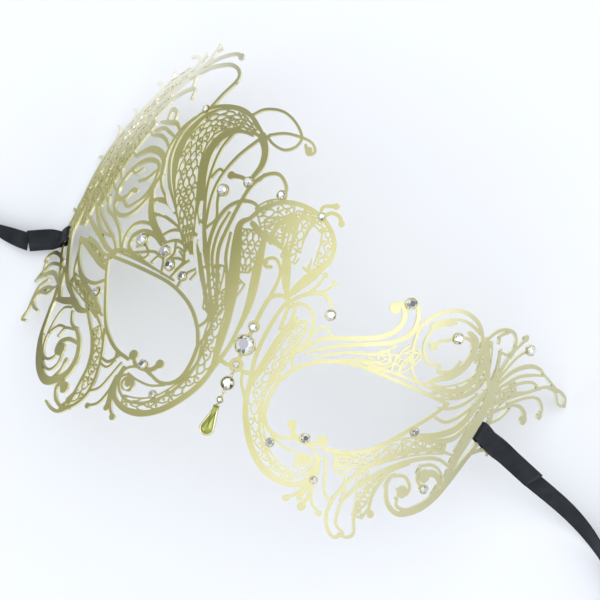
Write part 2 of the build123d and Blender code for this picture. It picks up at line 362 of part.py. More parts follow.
def pattern():
    """Every stroke and seat, the lobes' shared ones on both sides."""
    faces = [blade(*stroke, side=side) for stroke in both_lobes for side in (1, -1)]
    faces += [blade(*stroke) for stroke in right_lobe + plume]
    faces += [blade(*stroke, side=-1) for stroke in left_lobe]
    faces += [seat_disc(*dot, side=side) for dot in both_dots for side in (1, -1)]
    faces += [seat_disc(*dot) for dot in right_dots + plume_dots]
    faces += [seat_disc(*dot, side=-1) for dot in left_dots]
    return Sketch() + faces


def bent_shell():
    """The whole bent sheet before it is cut."""
    t = sheet_thickness
    outline = [
        bend_arc(-wing_reach, -left_bend_ends, 0),
        bend_arc(-left_bend_ends, right_bend_ends, 0),
        bend_arc(right_bend_ends, wing_reach, 0),
        Line(below(wing_reach, 0), below(wing_reach, t)),
        bend_arc(wing_reach, right_bend_ends, t),
        bend_arc(right_bend_ends, -left_bend_ends, t),
        bend_arc(-left_bend_ends, -wing_reach, t),
        Line(below(-wing_reach, t), below(-wing_reach, 0)),
    ]
    return extrude(Plane.XZ * make_face(Curve() + outline), amount=100, both=True)


def pendant_hole():
    """Slot for the top ring, with a rim bar left under it."""
    middle = (hole_top + hole_bottom) / 2
    return Pos(0, middle, -1) * extrude(Rectangle(0.9, hole_top - hole_bottom), amount=4, both=True)


def largest_solid(shape):
    return max(shape.solids(), key=lambda solid: solid.volume)


cut_sheet = largest_solid((Pos(0, 0, -85) * extrude(pattern(), amount=95)) & bent_shell()) - pendant_hole()
eyelet_bar = Pos(0, plate_bottom + 0.2, pendant_level) * Box(1.6, 0.4, sheet_thickness)
cut_sheet = cut_sheet + eyelet_bar

# ---------------------------------------------------------------- lying on its back
tilted = Location((0, 0, 0), (rest_tilt[0], rest_tilt[1], 0))
box = (tilted * cut_sheet).bounding_box()
LYING = Location((-(box.min.X + box.max.X) / 2, -(box.min.Y + box.max.Y) / 2, -box.min.Z)) * tilted


def laid(plane):
    """A plane given in the mask's own axes, moved with it onto its back."""
    return Plane(LYING * plane.location)


def on_sheet(u, v, lift=0):
    """Plane on the sheet's front: its x along +u, its z out of the sheet."""
    x, z, lean = section(u)
    origin = (x + lift * sin(lean), v, z + lift * cos(lean))
    return laid(Plane(origin, x_dir=(cos(lean), 0, -sin(lean)), z_dir=(sin(lean), 0, cos(lean))))


def at_bridge(v, z=pendant_level):
    """Plane parallel to the mask's front at the pendant's middle."""
    return laid(Plane((0, v, z), x_dir=(1, 0, 0), z_dir=(0, 0, 1)))


def edge_on(v, z=pendant_level):
    """Plane square to the front, for a ring that is seen edge-on."""
    return laid(Plane((0, v, z), x_dir=(0, 1, 0), z_dir=(1, 0, 0)))


def cut_stone(seat, radius, height):
    """Faceted flat-backed stone on a seat plane: girdle, sloping facets, flat table."""
    girdle = 0.15 * height
    with BuildPart() as stone:
        with BuildSketch(seat):
            RegularPolygon(radius, 12)
        extrude(amount=girdle)
        with BuildSketch(seat.offset(girdle)):
            RegularPolygon(radius, 12)
        with BuildSketch(seat.offset(height)):
            RegularPolygon(0.58 * radius, 12)
        loft()
    return stone.part


def wire_ring(plane, radius):
    """Closed wire ring lying in a plane."""
    with BuildPart(plane) as ring:
        Torus(radius, wire)
    return ring.part


def cup(seat, radius, height, floor, wall):
    """Round setting that stands on a seat plane: a floor and a wall, open in front."""
    with BuildPart() as setting:
        with BuildSketch(seat):
            Circle(radius)
        extrude(amount=height)
        with BuildSketch(seat.offset(floor)):
            Circle(radius - wall)
        extrude(amount=height - floor, mode=Mode.SUBTRACT)
    return setting.part


# ---------------------------------------------------------------- pieces of the sheet
laid_sheet = LYING * cut_sheet
with BuildPart() as filigree_sheet:
    add(laid_sheet)
filigree_sheet.part.label = "filigree_sheet"
export_step(filigree_sheet.part, "parts/filigree_sheet.step", write_pcurves=False)

centre_radius = 2.65
centre_floor = 0.3
with BuildPart() as centre_cup:
    add(cup(on_sheet(0, 0), centre_radius + 0.35, 0.8, centre_floor, 0.3))
centre_cup.part.label = "centre_cup"
export_step(centre_cup.part, "parts/centre_cup.step")

with BuildPart() as centre_stone:
    add(cut_stone(on_sheet(0, 0, centre_floor), centre_radius, 2.0))
centre_stone.part.label = "centre_stone"
export_step(centre_stone.part, "parts/centre_stone.step")

# each family of stones is one node of separate solids, each stone flat on its seat
stone_families = {"wide_stones": wide_stones, "middle_stones": middle_stones,
                  "narrow_stones": narrow_stones, "small_stones": small_stones}
for family_name, places in stone_families.items():
    with BuildPart() as family:
        for u, v, diameter in places:
            add(cut_stone(on_sheet(u, v), diameter / 2, 0.4 * diameter))
    family.part.label = family_name
    export_step(family.part, f"parts/{family_name}.step")

# ---------------------------------------------------------------- the pendant, from the bridge down
gap = 0.05
bar_middle = (hole_bottom + plate_bottom) / 2
ring_v = bar_middle - 0.15
ring_foot = ring_v - ring_radius
link_eye_v = ring_foot + wire + gap - (eyelet_radius - wire)
link_radius = 2.1
link_v = link_eye_v - eyelet_radius - link_radius + gap
lower_eye_v = link_v - link_radius - eyelet_radius + gap
lower_eye_foot = lower_eye_v - eyelet_radius
bail_v = lower_eye_foot + wire + gap - (bail_radius - wire)
bead_radius = 1.15
bead_v = bail_v - bail_radius - bead_radius + 0.1
drop_tip_v = bead_v - bead_radius
drop_length, drop_radius = 9.6, 2.15
drop_round_v = drop_tip_v - drop_length + drop_radius

link_height, bead_height, setting_wall, setting_floor = 1.1, 1.0, 0.3, 0.3
with BuildPart() as top_ring:
    add(wire_ring(edge_on(ring_v), ring_radius))
top_ring.part.label = "top_ring"
export_step(top_ring.part, "parts/top_ring.step")

with BuildPart() as link_cup:
    add(cup(at_bridge(link_v).offset(-link_height / 2), link_radius, link_height, setting_floor, setting_wall))
    for eye_v in (link_eye_v, lower_eye_v):
        add(wire_ring(at_bridge(eye_v), eyelet_radius))
link_cup.part.label = "link_cup"
export_step(link_cup.part, "parts/link_cup.step")

with BuildPart() as link_stone:
    add(cut_stone(at_bridge(link_v).offset(setting_floor - link_height / 2), link_radius - 0.35, 1.5))
link_stone.part.label = "link_stone"
export_step(link_stone.part, "parts/link_stone.step")

with BuildPart() as bead_cup:
    add(cup(at_bridge(bead_v).offset(-bead_height / 2), bead_radius, bead_height, setting_floor, setting_wall))
    add(wire_ring(edge_on(bail_v), bail_radius))
bead_cup.part.label = "bead_cup"
export_step(bead_cup.part, "parts/bead_cup.step")

with BuildPart() as bead_stone:
    add(cut_stone(at_bridge(bead_v).offset(setting_floor - bead_height / 2), bead_radius - 0.35, 1.0))
bead_stone.part.label = "bead_stone"
export_step(bead_stone.part, "parts/bead_stone.step")


def pear(plane, grow):
    """Pear outline: a round end and a small tip joined by tangents, grown or shrunk all round."""
    tip_radius = 0.5
    span = drop_tip_v - tip_radius - drop_round_v
    with BuildSketch(plane) as outline:
        Circle(drop_radius + grow)
        with Locations((0, span)):
            Circle(tip_radius + grow)
        make_hull()
    return outline.sketch


drop_depth, drop_rim = 1.2, 0.35
with BuildPart() as drop_frame:
    extrude(pear(at_bridge(drop_round_v).offset(-drop_depth / 2), 0), amount=drop_depth)
    extrude(pear(at_bridge(drop_round_v).offset(0.3 - drop_depth / 2), -drop_rim), amount=drop_depth,
            mode=Mode.SUBTRACT)
drop_frame.part.label = "drop_frame"
export_step(drop_frame.part, "parts/drop_frame.step")

with BuildPart() as drop_stone:
    extrude(pear(at_bridge(drop_round_v).offset(0.3 - drop_depth / 2), -drop_rim - 0.05), amount=drop_depth)
drop_stone.part.label = "drop_stone"
export_step(drop_stone.part, "parts/drop_stone.step")


# ---------------------------------------------------------------- the ties
def tie_fold(plane, lift_degrees, length):
    """Ribbon looped round a bar of the sheet and sewn back on itself: ring, then doubled band."""
    ring = Pos(0.1, -0.4) * (RectangleRounded(4.4, 2.4, 0.7) - RectangleRounded(3.6, 1.6, 0.3))
    rise = radians(lift_degrees)
    start = (2.0, -0.4)
    end = (start[0] + length * cos(rise), start[1] + length * sin(rise))
    band = Line(start, end).edge()
    offset = (-0.4 * sin(rise), 0.4 * cos(rise))
    corners = [(start[0] - offset[0], start[1] - offset[1]), (end[0] - offset[0], end[1] - offset[1]),
               (end[0] + offset[0], end[1] + offset[1]), (start[0] + offset[0], start[1] + offset[1])]
    face = ring + make_face(Polyline(*corners, close=True))
    return extrude(plane * face, amount=ribbon_width / 2, both=True), plane.from_local_coords((*end, 0))


def across(u, v, slant):
    """Section plane of a bar that slants in the sheet: x outward across the bar, y out of the sheet."""
    seat = on_sheet(u, v)
    side = -1 if u < 0 else 1
    outward = side * cos(radians(slant)) * seat.x_dir - sin(radians(slant)) * seat.y_dir
    along = outward.cross(seat.z_dir)
    return Plane(seat.origin, x_dir=outward, z_dir=along)


right_fold_solid, right_fold_end = tie_fold(across(79.0, 7.0, 14), 16.5, 22)
left_fold_solid, left_fold_end = tie_fold(across(-98.9, 12.0, 33), 38, 12)

with BuildPart() as right_fold:
    add(right_fold_solid)
right_fold.part.label = "right_fold"
export_step(right_fold.part, "parts/right_fold.step")

with BuildPart() as left_fold:
    add(left_fold_solid)
left_fold.part.label = "left_fold"
export_step(left_fold.part, "parts/left_fold.step")

# free lengths: routes from the folds to the rolls, and the middles of the rolls, in the row's axes
right_route = [(85.2, -21.5, 16.6), (92.6, -23.6, 11.6), (99.6, -26.0, 7.6), (106.8, -29.4, 4.7),
               (114.4, -34.4, 3.3), (122.5, -41.5, 3.0)]
left_route = [(-91.7, -18.2, 4.9), (-101.0, -19.0, 3.7), (-110.0, -18.6, 3.2), (-119.5, -17.9, 3.0)]
right_roll_middle = (141.3, -27.9)
left_roll_middle = (-126.8, -41.4)


def corner_radii(route):
    """Largest tangent arc that the shorter run beside each corner allows."""
    radii = []
    for before, here, after in zip(route, route[1:], route[2:]):
        run_in, run_out = Vector(*here) - Vector(*before), Vector(*after) - Vector(*here)
        turn = radians(run_in.get_angle(run_out))
        radii.append(0.45 * min(run_in.length, run_out.length) / tan(turn / 2))
    return radii


def tie_tube(name, route):
    """Plain tube along a route, its volume compared with its section times its length."""
    radii = corner_radii(route)
    path = FilletPolyline(*route, radius=radii)
    start = Plane(path @ 0, z_dir=path % 0)
    tube = sweep(start * Circle(ribbon_width / 2), path=path)
    print(name, "radii", [round(r) for r in radii], "length", round(path.length, 1))
    print(name, "volume over section times length", tube.volume / (pi * ribbon_width**2 / 4 * path.length))
    return tube


def tie_roll(middle):
    """Outer shape of the rolled-up rest of a tie, standing on its edge on the table."""
    with BuildPart() as roll:
        with BuildSketch(Plane((*middle, 0))):
            Circle(roll_outer)
            Circle(roll_inner, mode=Mode.SUBTRACT)
        extrude(amount=ribbon_width)
    return roll.part


right_tube = tie_tube("right_tie", right_route)
with BuildPart() as right_tie:
    add(right_tube)
right_tie.part.label = "right_tie"
export_step(right_tie.part, "parts/right_tie.step")

left_tube = tie_tube("left_tie", left_route)
with BuildPart() as left_tie:
    add(left_tube)
left_tie.part.label = "left_tie"
export_step(left_tie.part, "parts/left_tie.step")

with BuildPart() as right_roll:
    add(tie_roll(right_roll_middle))
right_roll.part.label = "right_roll"
export_step(right_roll.part, "parts/right_roll.step")

with BuildPart() as left_roll:
    add(tie_roll(left_roll_middle))
left_roll.part.label = "left_roll"
export_step(left_roll.part, "parts/left_roll.step")

# ---------------------------------------------------------------- figures for the record
print("sheet box", box.size, "laid at", LYING)
print("solids in the sheet", len(filigree_sheet.part.solids()))
for name, plane in (("bar", at_bridge(bar_middle)), ("ring foot", at_bridge(ring_foot)),
                    ("lower eye foot", at_bridge(lower_eye_foot))):
    print(name, "at", plane.origin, "x", plane.x_dir, "z", plane.z_dir)
print("fold ends", right_fold_end, left_fold_end)
print("fold boxes", right_fold.part.bounding_box(), left_fold.part.bounding_box())
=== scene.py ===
import random
from bisect import bisect_right
from math import asin, ceil, cos, floor, pi, radians, sin, tan

import bpy
from mathutils import Matrix, Vector
from mathutils.geometry import delaunay_2d_cdt


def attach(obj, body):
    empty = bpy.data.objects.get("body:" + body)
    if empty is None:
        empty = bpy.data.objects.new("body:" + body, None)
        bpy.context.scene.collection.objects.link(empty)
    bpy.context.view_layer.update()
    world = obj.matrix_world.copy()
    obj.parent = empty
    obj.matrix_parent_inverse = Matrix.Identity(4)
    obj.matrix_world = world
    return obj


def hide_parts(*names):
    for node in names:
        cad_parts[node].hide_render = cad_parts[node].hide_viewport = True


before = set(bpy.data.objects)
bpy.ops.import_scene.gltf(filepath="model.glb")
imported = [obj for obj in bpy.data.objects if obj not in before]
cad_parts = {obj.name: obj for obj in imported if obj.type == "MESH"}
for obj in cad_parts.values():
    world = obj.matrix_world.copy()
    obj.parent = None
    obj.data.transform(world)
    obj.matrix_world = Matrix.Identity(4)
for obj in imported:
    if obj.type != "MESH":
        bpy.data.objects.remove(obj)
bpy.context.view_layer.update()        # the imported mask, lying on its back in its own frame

MM = 0.001

# ---------------------------------------------------------------- the mask's own measures, in mm
bend_radius = 80.0
left_bend_ends, left_wing_radius = 62.0, 420.0
right_bend_ends, right_wing_radius = 75.0, 260.0
sheet_thickness = 0.8
tilt = Matrix.Rotation(radians(-4.8), 3, "X") @ Matrix.Rotation(radians(-3.1), 3, "Y")
lying_at = Vector((-1.9588, -19.0954, 62.6821))     # the bridge's place on the table
ribbon_width, ribbon_thickness = 6.0, 0.36

# pendant, v of each piece's middle below the bridge
pendant_level = -0.4
ring_v, ring_radius, wire = -8.05, 0.85, 0.15
link_eye_v, link_v, lower_eye_v, eyelet_radius = -9.05, -11.6, -14.15, 0.5
bail_v, bail_radius, bead_v = -15.0, 0.55, -16.6
drop_tip_v, drop_length, drop_radius = -17.75, 9.6, 2.15


def section(u):
    """Point (x, z) of the sheet's front at arc length u, and the angle its normal leans outward."""
    side = -1 if u < 0 else 1
    bend_ends = left_bend_ends if u < 0 else right_bend_ends
    wing_radius = left_wing_radius if u < 0 else right_wing_radius
    inner = min(abs(u), bend_ends) / bend_radius
    outer = inner + max(abs(u) - bend_ends, 0) / wing_radius
    x = bend_radius * sin(inner) + wing_radius * (sin(outer) - sin(inner))
    z = -bend_radius * (1 - cos(inner)) - wing_radius * (cos(inner) - cos(outer))
    return side * x, z, side * outer


def laid(point):
    """A point in the mask's own axes, mm, as a place in the frame, metres."""
    return (tilt @ Vector(point) + lying_at) * MM


def seat(u, v, lift=0.0):
    """Axes on the sheet's front: x along u, y up the mask, z out of the sheet; local units are mm."""
    x, z, lean = section(u)
    origin = laid((x + lift * sin(lean), v, z + lift * cos(lean)))
    turn = tilt @ Matrix.Rotation(lean, 3, "Y")
    return Matrix.Translation(origin) @ turn.to_4x4() @ Matrix.Scale(MM, 4)


def at_bridge(v, z=pendant_level):
    """Axes parallel to the mask's front at the pendant's middle; local units are mm."""
    return Matrix.Translation(laid((0, v, z))) @ tilt.to_4x4() @ Matrix.Scale(MM, 4)


# ---------------------------------------------------------------- camera, light and floor
def add_camera():
    """The view from above the right wing, turned so that the mask hangs to the lower left."""
    away, below, roll, distance = radians(14), radians(4), radians(24), 450.0
    lens, sensor = 97.2, 36.0
    bridge_in_view = (-0.0339, -0.0279)      # tangents of the bridge's direction from the view's axis
    back = Vector((tan(away), -tan(below), 1)).normalized()
    right = (Vector((1, 0, 0)) - back.x * back).normalized()
    up = back.cross(right)
    basis = Matrix((cos(roll) * right + sin(roll) * up, cos(roll) * up - sin(roll) * right, back))
    to_bridge = Vector((*bridge_in_view, -1)).normalized()
    turn = Vector((0, 0, -1)).rotation_difference(to_bridge).to_matrix()
    rotation = tilt @ (turn @ basis).transposed()
    data = bpy.data.cameras.new("camera")
    data.lens = lens
    data.sensor_width = sensor
    camera = bpy.data.objects.new("camera", data)
    camera.matrix_world = Matrix.Translation(laid(distance * back)) @ rotation.to_4x4()
    bpy.context.scene.collection.objects.link(camera)
    bpy.context.scene.camera = camera


def area_light(name, place, aim, size, power, colour):
    data = bpy.data.lights.new(name, "AREA")
    data.shape = "DISK"
    data.size = size
    data.energy = power
    data.color = colour
    lamp = bpy.data.objects.new(name, data)
    direction = Vector(place) - Vector(aim)
    lamp.matrix_world = Matrix.Translation(place) @ direction.to_track_quat("Z", "Y").to_matrix().to_4x4()
    bpy.context.scene.collection.objects.link(lamp)


def add_light():
    """Soft tent light: bright from the upper right, weaker from the left, cool white all round."""
    area_light("key", (0.75, 0.45, 0.85), (0.02, 0, 0.02), 1.1, 3.0, (1, 0.995, 0.98))
    area_light("top", (-0.1, 0.25, 1.3), (0, 0, 0), 1.3, 3.6, (0.97, 0.98, 1))
    area_light("fill", (-0.8, -0.5, 0.7), (0, 0, 0.02), 0.7, 2.2, (0.95, 0.97, 1))
    world = bpy.data.worlds.new("tent")
    world.use_nodes = True
    nodes, links = world.node_tree.nodes, world.node_tree.links
    coords = nodes.new("ShaderNodeTexCoord")
    split = nodes.new("ShaderNodeSeparateXYZ")
    rise = set_inputs(nodes.new("ShaderNodeMapRange"), From_Min=-1)
    links.new(coords.outputs["Generated"], split.inputs[0])
    links.new(split.outputs["X"], rise.inputs["Value"])
    ramp = ramp_between(nodes, links, rise.outputs[0], (0.55, 0.56, 0.57), (0.93, 0.95, 1), 0.30, 0.68)
    links.new(ramp.outputs[0], nodes["Background"].inputs["Color"])
    set_inputs(nodes["Background"], Strength=1.08)
    bpy.context.scene.world = world


def add_floor():
    """Plain pale table top."""
    mesh = bpy.data.meshes.new("floor")
    half = 3.0
    corners = [(-half, -half, 0), (half, -half, 0), (half, half, 0), (-half, half, 0)]
    mesh.from_pydata(corners, [], [(0, 1, 2, 3)])
    floor = bpy.data.objects.new("floor", mesh)
    bpy.context.scene.collection.objects.link(floor)
    material, shader = new_material("table_top")[:2]
    set_inputs(shader, Base_Color=(0.84, 0.86, 0.90, 1), Roughness=0.75, Specular_IOR_Level=0.2)
    mesh.materials.append(material)


# ---------------------------------------------------------------- materials
def set_inputs(node, **values):
    """Sets a node's own inputs; an underscore in a name stands for a space."""
    for name, value in values.items():
        node.inputs[name.replace("_", " ")].default_value = value
    return node


def new_material(name):
    material = bpy.data.materials.new(name)
    material.use_nodes = True
    nodes, links = material.node_tree.nodes, material.node_tree.links
    return material, nodes["Principled BSDF"], nodes, links


def grain(nodes, links, scale):
    """Noise in the object's own space; scale is in turns per metre."""
    coords = nodes.new("ShaderNodeTexCoord")
    noise = set_inputs(nodes.new("ShaderNodeTexNoise"), Scale=scale, Detail=3.0)
    links.new(coords.outputs["Object"], noise.inputs["Vector"])
    return noise


def ramp_between(nodes, links, source, low, high, start=0.3, end=0.7):
    ramp = nodes.new("ShaderNodeValToRGB")
    ramp.color_ramp.elements[0].position = start
    ramp.color_ramp.elements[0].color = (*low, 1)
    ramp.color_ramp.elements[1].position = end
    ramp.color_ramp.elements[1].color = (*high, 1)
    links.new(source, ramp.inputs[0])
    return ramp


def roughness_between(nodes, links, source, low, high):
    spread = set_inputs(nodes.new("ShaderNodeMapRange"), To_Min=low, To_Max=high)
    links.new(source, spread.inputs["Value"])
    return spread


def bumped(nodes, links, source, shader, distance, strength):
    bump = set_inputs(nodes.new("ShaderNodeBump"), Strength=strength, Distance=distance)
    links.new(source, bump.inputs["Height"])
    links.new(bump.outputs[0], shader.inputs["Normal"])


def gold(name, left, right, crest, rough_low, rough_high):
    """Plated metal with polish marks, its colour holding painted light: the tone pales from left to right,
    standing in for the key light's reflection, and pales further on the crest as a painted highlight.
    """
    material, shader, nodes, links = new_material(name)
    set_inputs(shader, Metallic=1.0)
    coords = nodes.new("ShaderNodeTexCoord")
    split = nodes.new("ShaderNodeSeparateXYZ")
    links.new(coords.outputs["Object"], split.inputs[0])
    drift = grain(nodes, links, 45)
    # painted light: along x the base colour runs from the left colour to the paler right colour, with noise
    # in it, standing in for the key light's reflection
    painted_light_per_metre = 7.0
    place = nodes.new("ShaderNodeMath")
    place.operation = "MULTIPLY_ADD"
    place.inputs[1].default_value = painted_light_per_metre
    links.new(split.outputs["X"], place.inputs[0])
    links.new(drift.outputs[0], place.inputs[2])
    colour = ramp_between(nodes, links, place.outputs[0], left, right, 0.2, 0.9)
    # painted highlight: towards the crest the base colour pales to the crest colour, standing in for the
    # light the crest catches
    towards_crest, painted_light_from, painted_light_to = (-0.7, 0.7, 0.0), 0.060, 0.078
    reach = nodes.new("ShaderNodeVectorMath")
    reach.operation = "DOT_PRODUCT"
    reach.inputs[1].default_value = towards_crest
    links.new(coords.outputs["Object"], reach.inputs[0])
    crest_light_share = set_inputs(nodes.new("ShaderNodeMapRange"), From_Min=painted_light_from, From_Max=painted_light_to)
    links.new(reach.outputs["Value"], crest_light_share.inputs["Value"])
    crest_painted_highlight = nodes.new("ShaderNodeMix")
    crest_painted_highlight.data_type = "RGBA"
    crest_painted_highlight.inputs[7].default_value = (*crest, 1)
    links.new(crest_light_share.outputs[0], crest_painted_highlight.inputs[0])
    links.new(colour.outputs[0], crest_painted_highlight.inputs[6])
    links.new(crest_painted_highlight.outputs[2], shader.inputs["Base Color"])
    marks = grain(nodes, links, 900)
    polish = roughness_between(nodes, links, marks.outputs[0], rough_low, rough_high)
    links.new(polish.outputs[0], shader.inputs["Roughness"])
    bumped(nodes, links, marks.outputs[0], shader, 0.00003, 0.25)
    return material


def crystal(name, dark, light):
    """Foil-backed glass under a clear gloss; each facet has its own tone, a painted reflection standing in
    for what the foil behind cut glass reflects.
    """
    material, shader, nodes, links = new_material(name)
    facet = nodes.new("ShaderNodeAttribute")
    facet.attribute_name = "facet"
    colour = ramp_between(nodes, links, facet.outputs["Fac"], dark, light, 0.05, 0.75)
    links.new(colour.outputs[0], shader.inputs["Base Color"])
    set_inputs(shader, Metallic=0.45, Roughness=0.06, IOR=1.6, Coat_Weight=1.0, Coat_Roughness=0.02)
    return material


def satin():
    """Black satin ribbon: fine ribs across it, a sheen, and slightly uneven dye."""
    material, shader, nodes, links = new_material("black_satin")
    coords = nodes.new("ShaderNodeUVMap")
    coords.uv_map = "ribbon"
    ribs = nodes.new("ShaderNodeTexWave")
    ribs.wave_type = "BANDS"
    ribs.bands_direction = "X"
    set_inputs(ribs, Scale=1.1, Distortion=0.6)
    links.new(coords.outputs[0], ribs.inputs["Vector"])
    dye = grain(nodes, links, 260)
    colour = ramp_between(nodes, links, dye.outputs[0], (0.004, 0.006, 0.009), (0.013, 0.016, 0.021))
    links.new(colour.outputs[0], shader.inputs["Base Color"])
    polish = roughness_between(nodes, links, ribs.outputs[0], 0.42, 0.58)
    links.new(polish.outputs[0], shader.inputs["Roughness"])
    set_inputs(shader, Specular_IOR_Level=0.28, Sheen_Weight=0.05, Sheen_Roughness=0.4)
    bumped(nodes, links, ribs.outputs[0], shader, 0.00004, 0.5)
    return material


# ---------------------------------------------------------------- mesh helpers
def new_piece(name, vertices, faces, materials, body, replaced=(), smooth=False, which=None):
    """One visible piece: its mesh, its materials and what it rides on."""
    mesh = bpy.data.meshes.new(name)
    mesh.from_pydata([tuple(v) for v in vertices], [], faces)
    for material in materials:
        mesh.materials.append(material)
    if which:
        mesh.polygons.foreach_set("material_index", which)
    mesh.polygons.foreach_set("use_smooth", [smooth] * len(mesh.polygons))
    mesh.update()
    piece = bpy.data.objects.new(name, mesh)
    bpy.context.scene.collection.objects.link(piece)
    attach(piece, body)
    if replaced:
        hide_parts(*replaced)
    return piece


class Shapes:
    """Vertices and faces of several small shapes that share one piece."""

    def __init__(self):
        self.vertices, self.faces = [], []

    def add(self, axes, vertices, faces):
        start = len(self.vertices)
        self.vertices += [axes @ Vector(v) for v in vertices]
        self.faces += [[start + i for i in face] for face in faces]

    def rings(self, axes, rings, close_low=True, close_high=True):
        """A skin through rings of equal count, listed from the bottom up."""
        count = len(rings[0])
        faces = []
        for level in range(len(rings) - 1):
            for i in range(count):
                j = (i + 1) % count
                low, high = level * count, (level + 1) * count
                faces.append([low + i, low + j, high + j, high + i])
        if close_low:
            faces.append(list(reversed(range(count))))
        if close_high:
            faces.append(list(range((len(rings) - 1) * count, len(rings) * count)))
        self.add(axes, [p for ring in rings for p in ring], faces)

    def torus(self, axes, radius, thick, around=28, section_points=10):
        """A wire ring about the local z axis."""
        vertices, faces = [], []
        for i in range(around):
            a = 2 * pi * i / around
            for j in range(section_points):
                b = 2 * pi * j / section_points
                r = radius + thick * cos(b)
                vertices.append((r * cos(a), r * sin(a), thick * sin(b)))
        for i in range(around):
            for j in range(section_points):
                i2, j2 = (i + 1) % around, (j + 1) % section_points
                faces.append([i * section_points + j, i2 * section_points + j,
                              i2 * section_points + j2, i * section_points + j2])
        self.add(axes, vertices, faces)

    def ball(self, axes, centre, radius, stretch=1.0, bands=6, around=10):
        """A small prong tip or bead."""
        rings = []
        for k in range(1, bands):
            a = pi * k / bands - pi / 2
            rings.append([(centre[0] + radius * cos(a) * cos(2 * pi * i / around),
                           centre[1] + radius * cos(a) * sin(2 * pi * i / around),
                           centre[2] + stretch * radius * sin(a)) for i in range(around)])
        self.rings(axes, rings)


def circle(radius, z, count, turn=0.0):
    return [(radius * cos(2 * pi * (i + turn) / count), radius * sin(2 * pi * (i + turn) / count), z)
            for i in range(count)]


# ---------------------------------------------------------------- the flat pattern, in mm
# strokes that both lobes have, right-hand side given: start, middle and end width, then (u, v) points
both_lobes = [
    (1.1, 1.1, 1.1, [(61.4, 9.7), (50, 9.3), (40, 8.8), (31, 8),
        (25, 6.4), (19.6, 3.6), (15.2, -0.8), (12.6, -5.5)]),
    (1.1, 1.1, 0.9, [(12.6, -5.5), (12.3, -10.5), (13, -15), (15.2, -18), (18.6, -19.1), (22.2, -18.2)]),
    (1.1, 1.1, 1.1, [(61.4, 9.7), (57.6, 4), (53.5, -1.2), (49, -7),
        (44.5, -11.6), (38, -15.4), (31.8, -16.7)]),
    (0.7, 0.8, 0.7, [(60, 11.6), (48, 11), (38, 10.2), (29, 9)]),
    (1.6, 1.2, 1.1, [(21.2, -14.6), (22.6, -16.6), (25.5, -17.6), (28.6, -17.2), (30.6, -15.2)]),
    (1, 1, 0.8, [(22.2, -18.2), (24.5, -17.6), (27, -17.6)]),
    (0.7, 0.7, 0.7, [(17, -19.4), (21, -21), (25.5, -21.1), (29.5, -20.4)]),
    (0.7, 0.8, 0.7, [(27, -17.4), (30, -18.6), (31.8, -20.6)]),
    (1.2, 1.8, 1.3, [(5.4, -8), (7, -14.5), (10, -20.3), (14.6, -25.9),
        (20, -29.3), (25.5, -30), (30, -28.4), (32, -25.4)]),
    (0.9, 0.8, 0.7, [(10.9, -3), (10.6, -9), (11.3, -14), (13.5, -19.4), (17.2, -23.8), (21.8, -26.8),
        (26.5, -27.4), (30, -25.6), (31.4, -22.6), (29.6, -20.8), (27, -21.4)]),
    (2, 3.4, 1.6, [(27, -24.2), (27.6, -22.6), (29.4, -22.4)]),
    (1.6, 1.9, 0.9, [(31.8, -19.6), (32.2, -25), (31.6, -31.6)]),
    (1.1, 0.9, 0.8, [(31.8, -28), (30.4, -31), (28.2, -33.3)]),
    (1, 0.8, 0.8, [(33, -22.5), (33.4, -27.5), (35.2, -31.6), (38.3, -33.4)]),
    (0.7, 0.7, 0.7, [(33.6, -18.5), (35.4, -23.5), (37.2, -27.4), (40.4, -29.6)]),
    (0.8, 1, 0.7, [(35.6, -17), (38.2, -19.6), (41.6, -19.4)]),
    (0.7, 0.7, 0.7, [(37, -15.8), (36.4, -19), (38, -21.2), (41, -21)]),
    (1.2, 1.1, 1, [(5.4, -8), (4.1, -2), (3.9, 5), (4.6, 12), (5.6, 15.5)]),
    (1.3, 1.8, 1.5, [(6, -9), (6.9, -2), (8, 6), (9.6, 12.5)]),
    (0.8, 0.9, 0.8, [(12.6, -5.5), (11.4, 0), (12.6, 5), (13.4, 9)]),
    (0.8, 0.9, 0.8, [(15.2, -0.8), (13.4, 2.6), (14.8, 7.2)]),
]

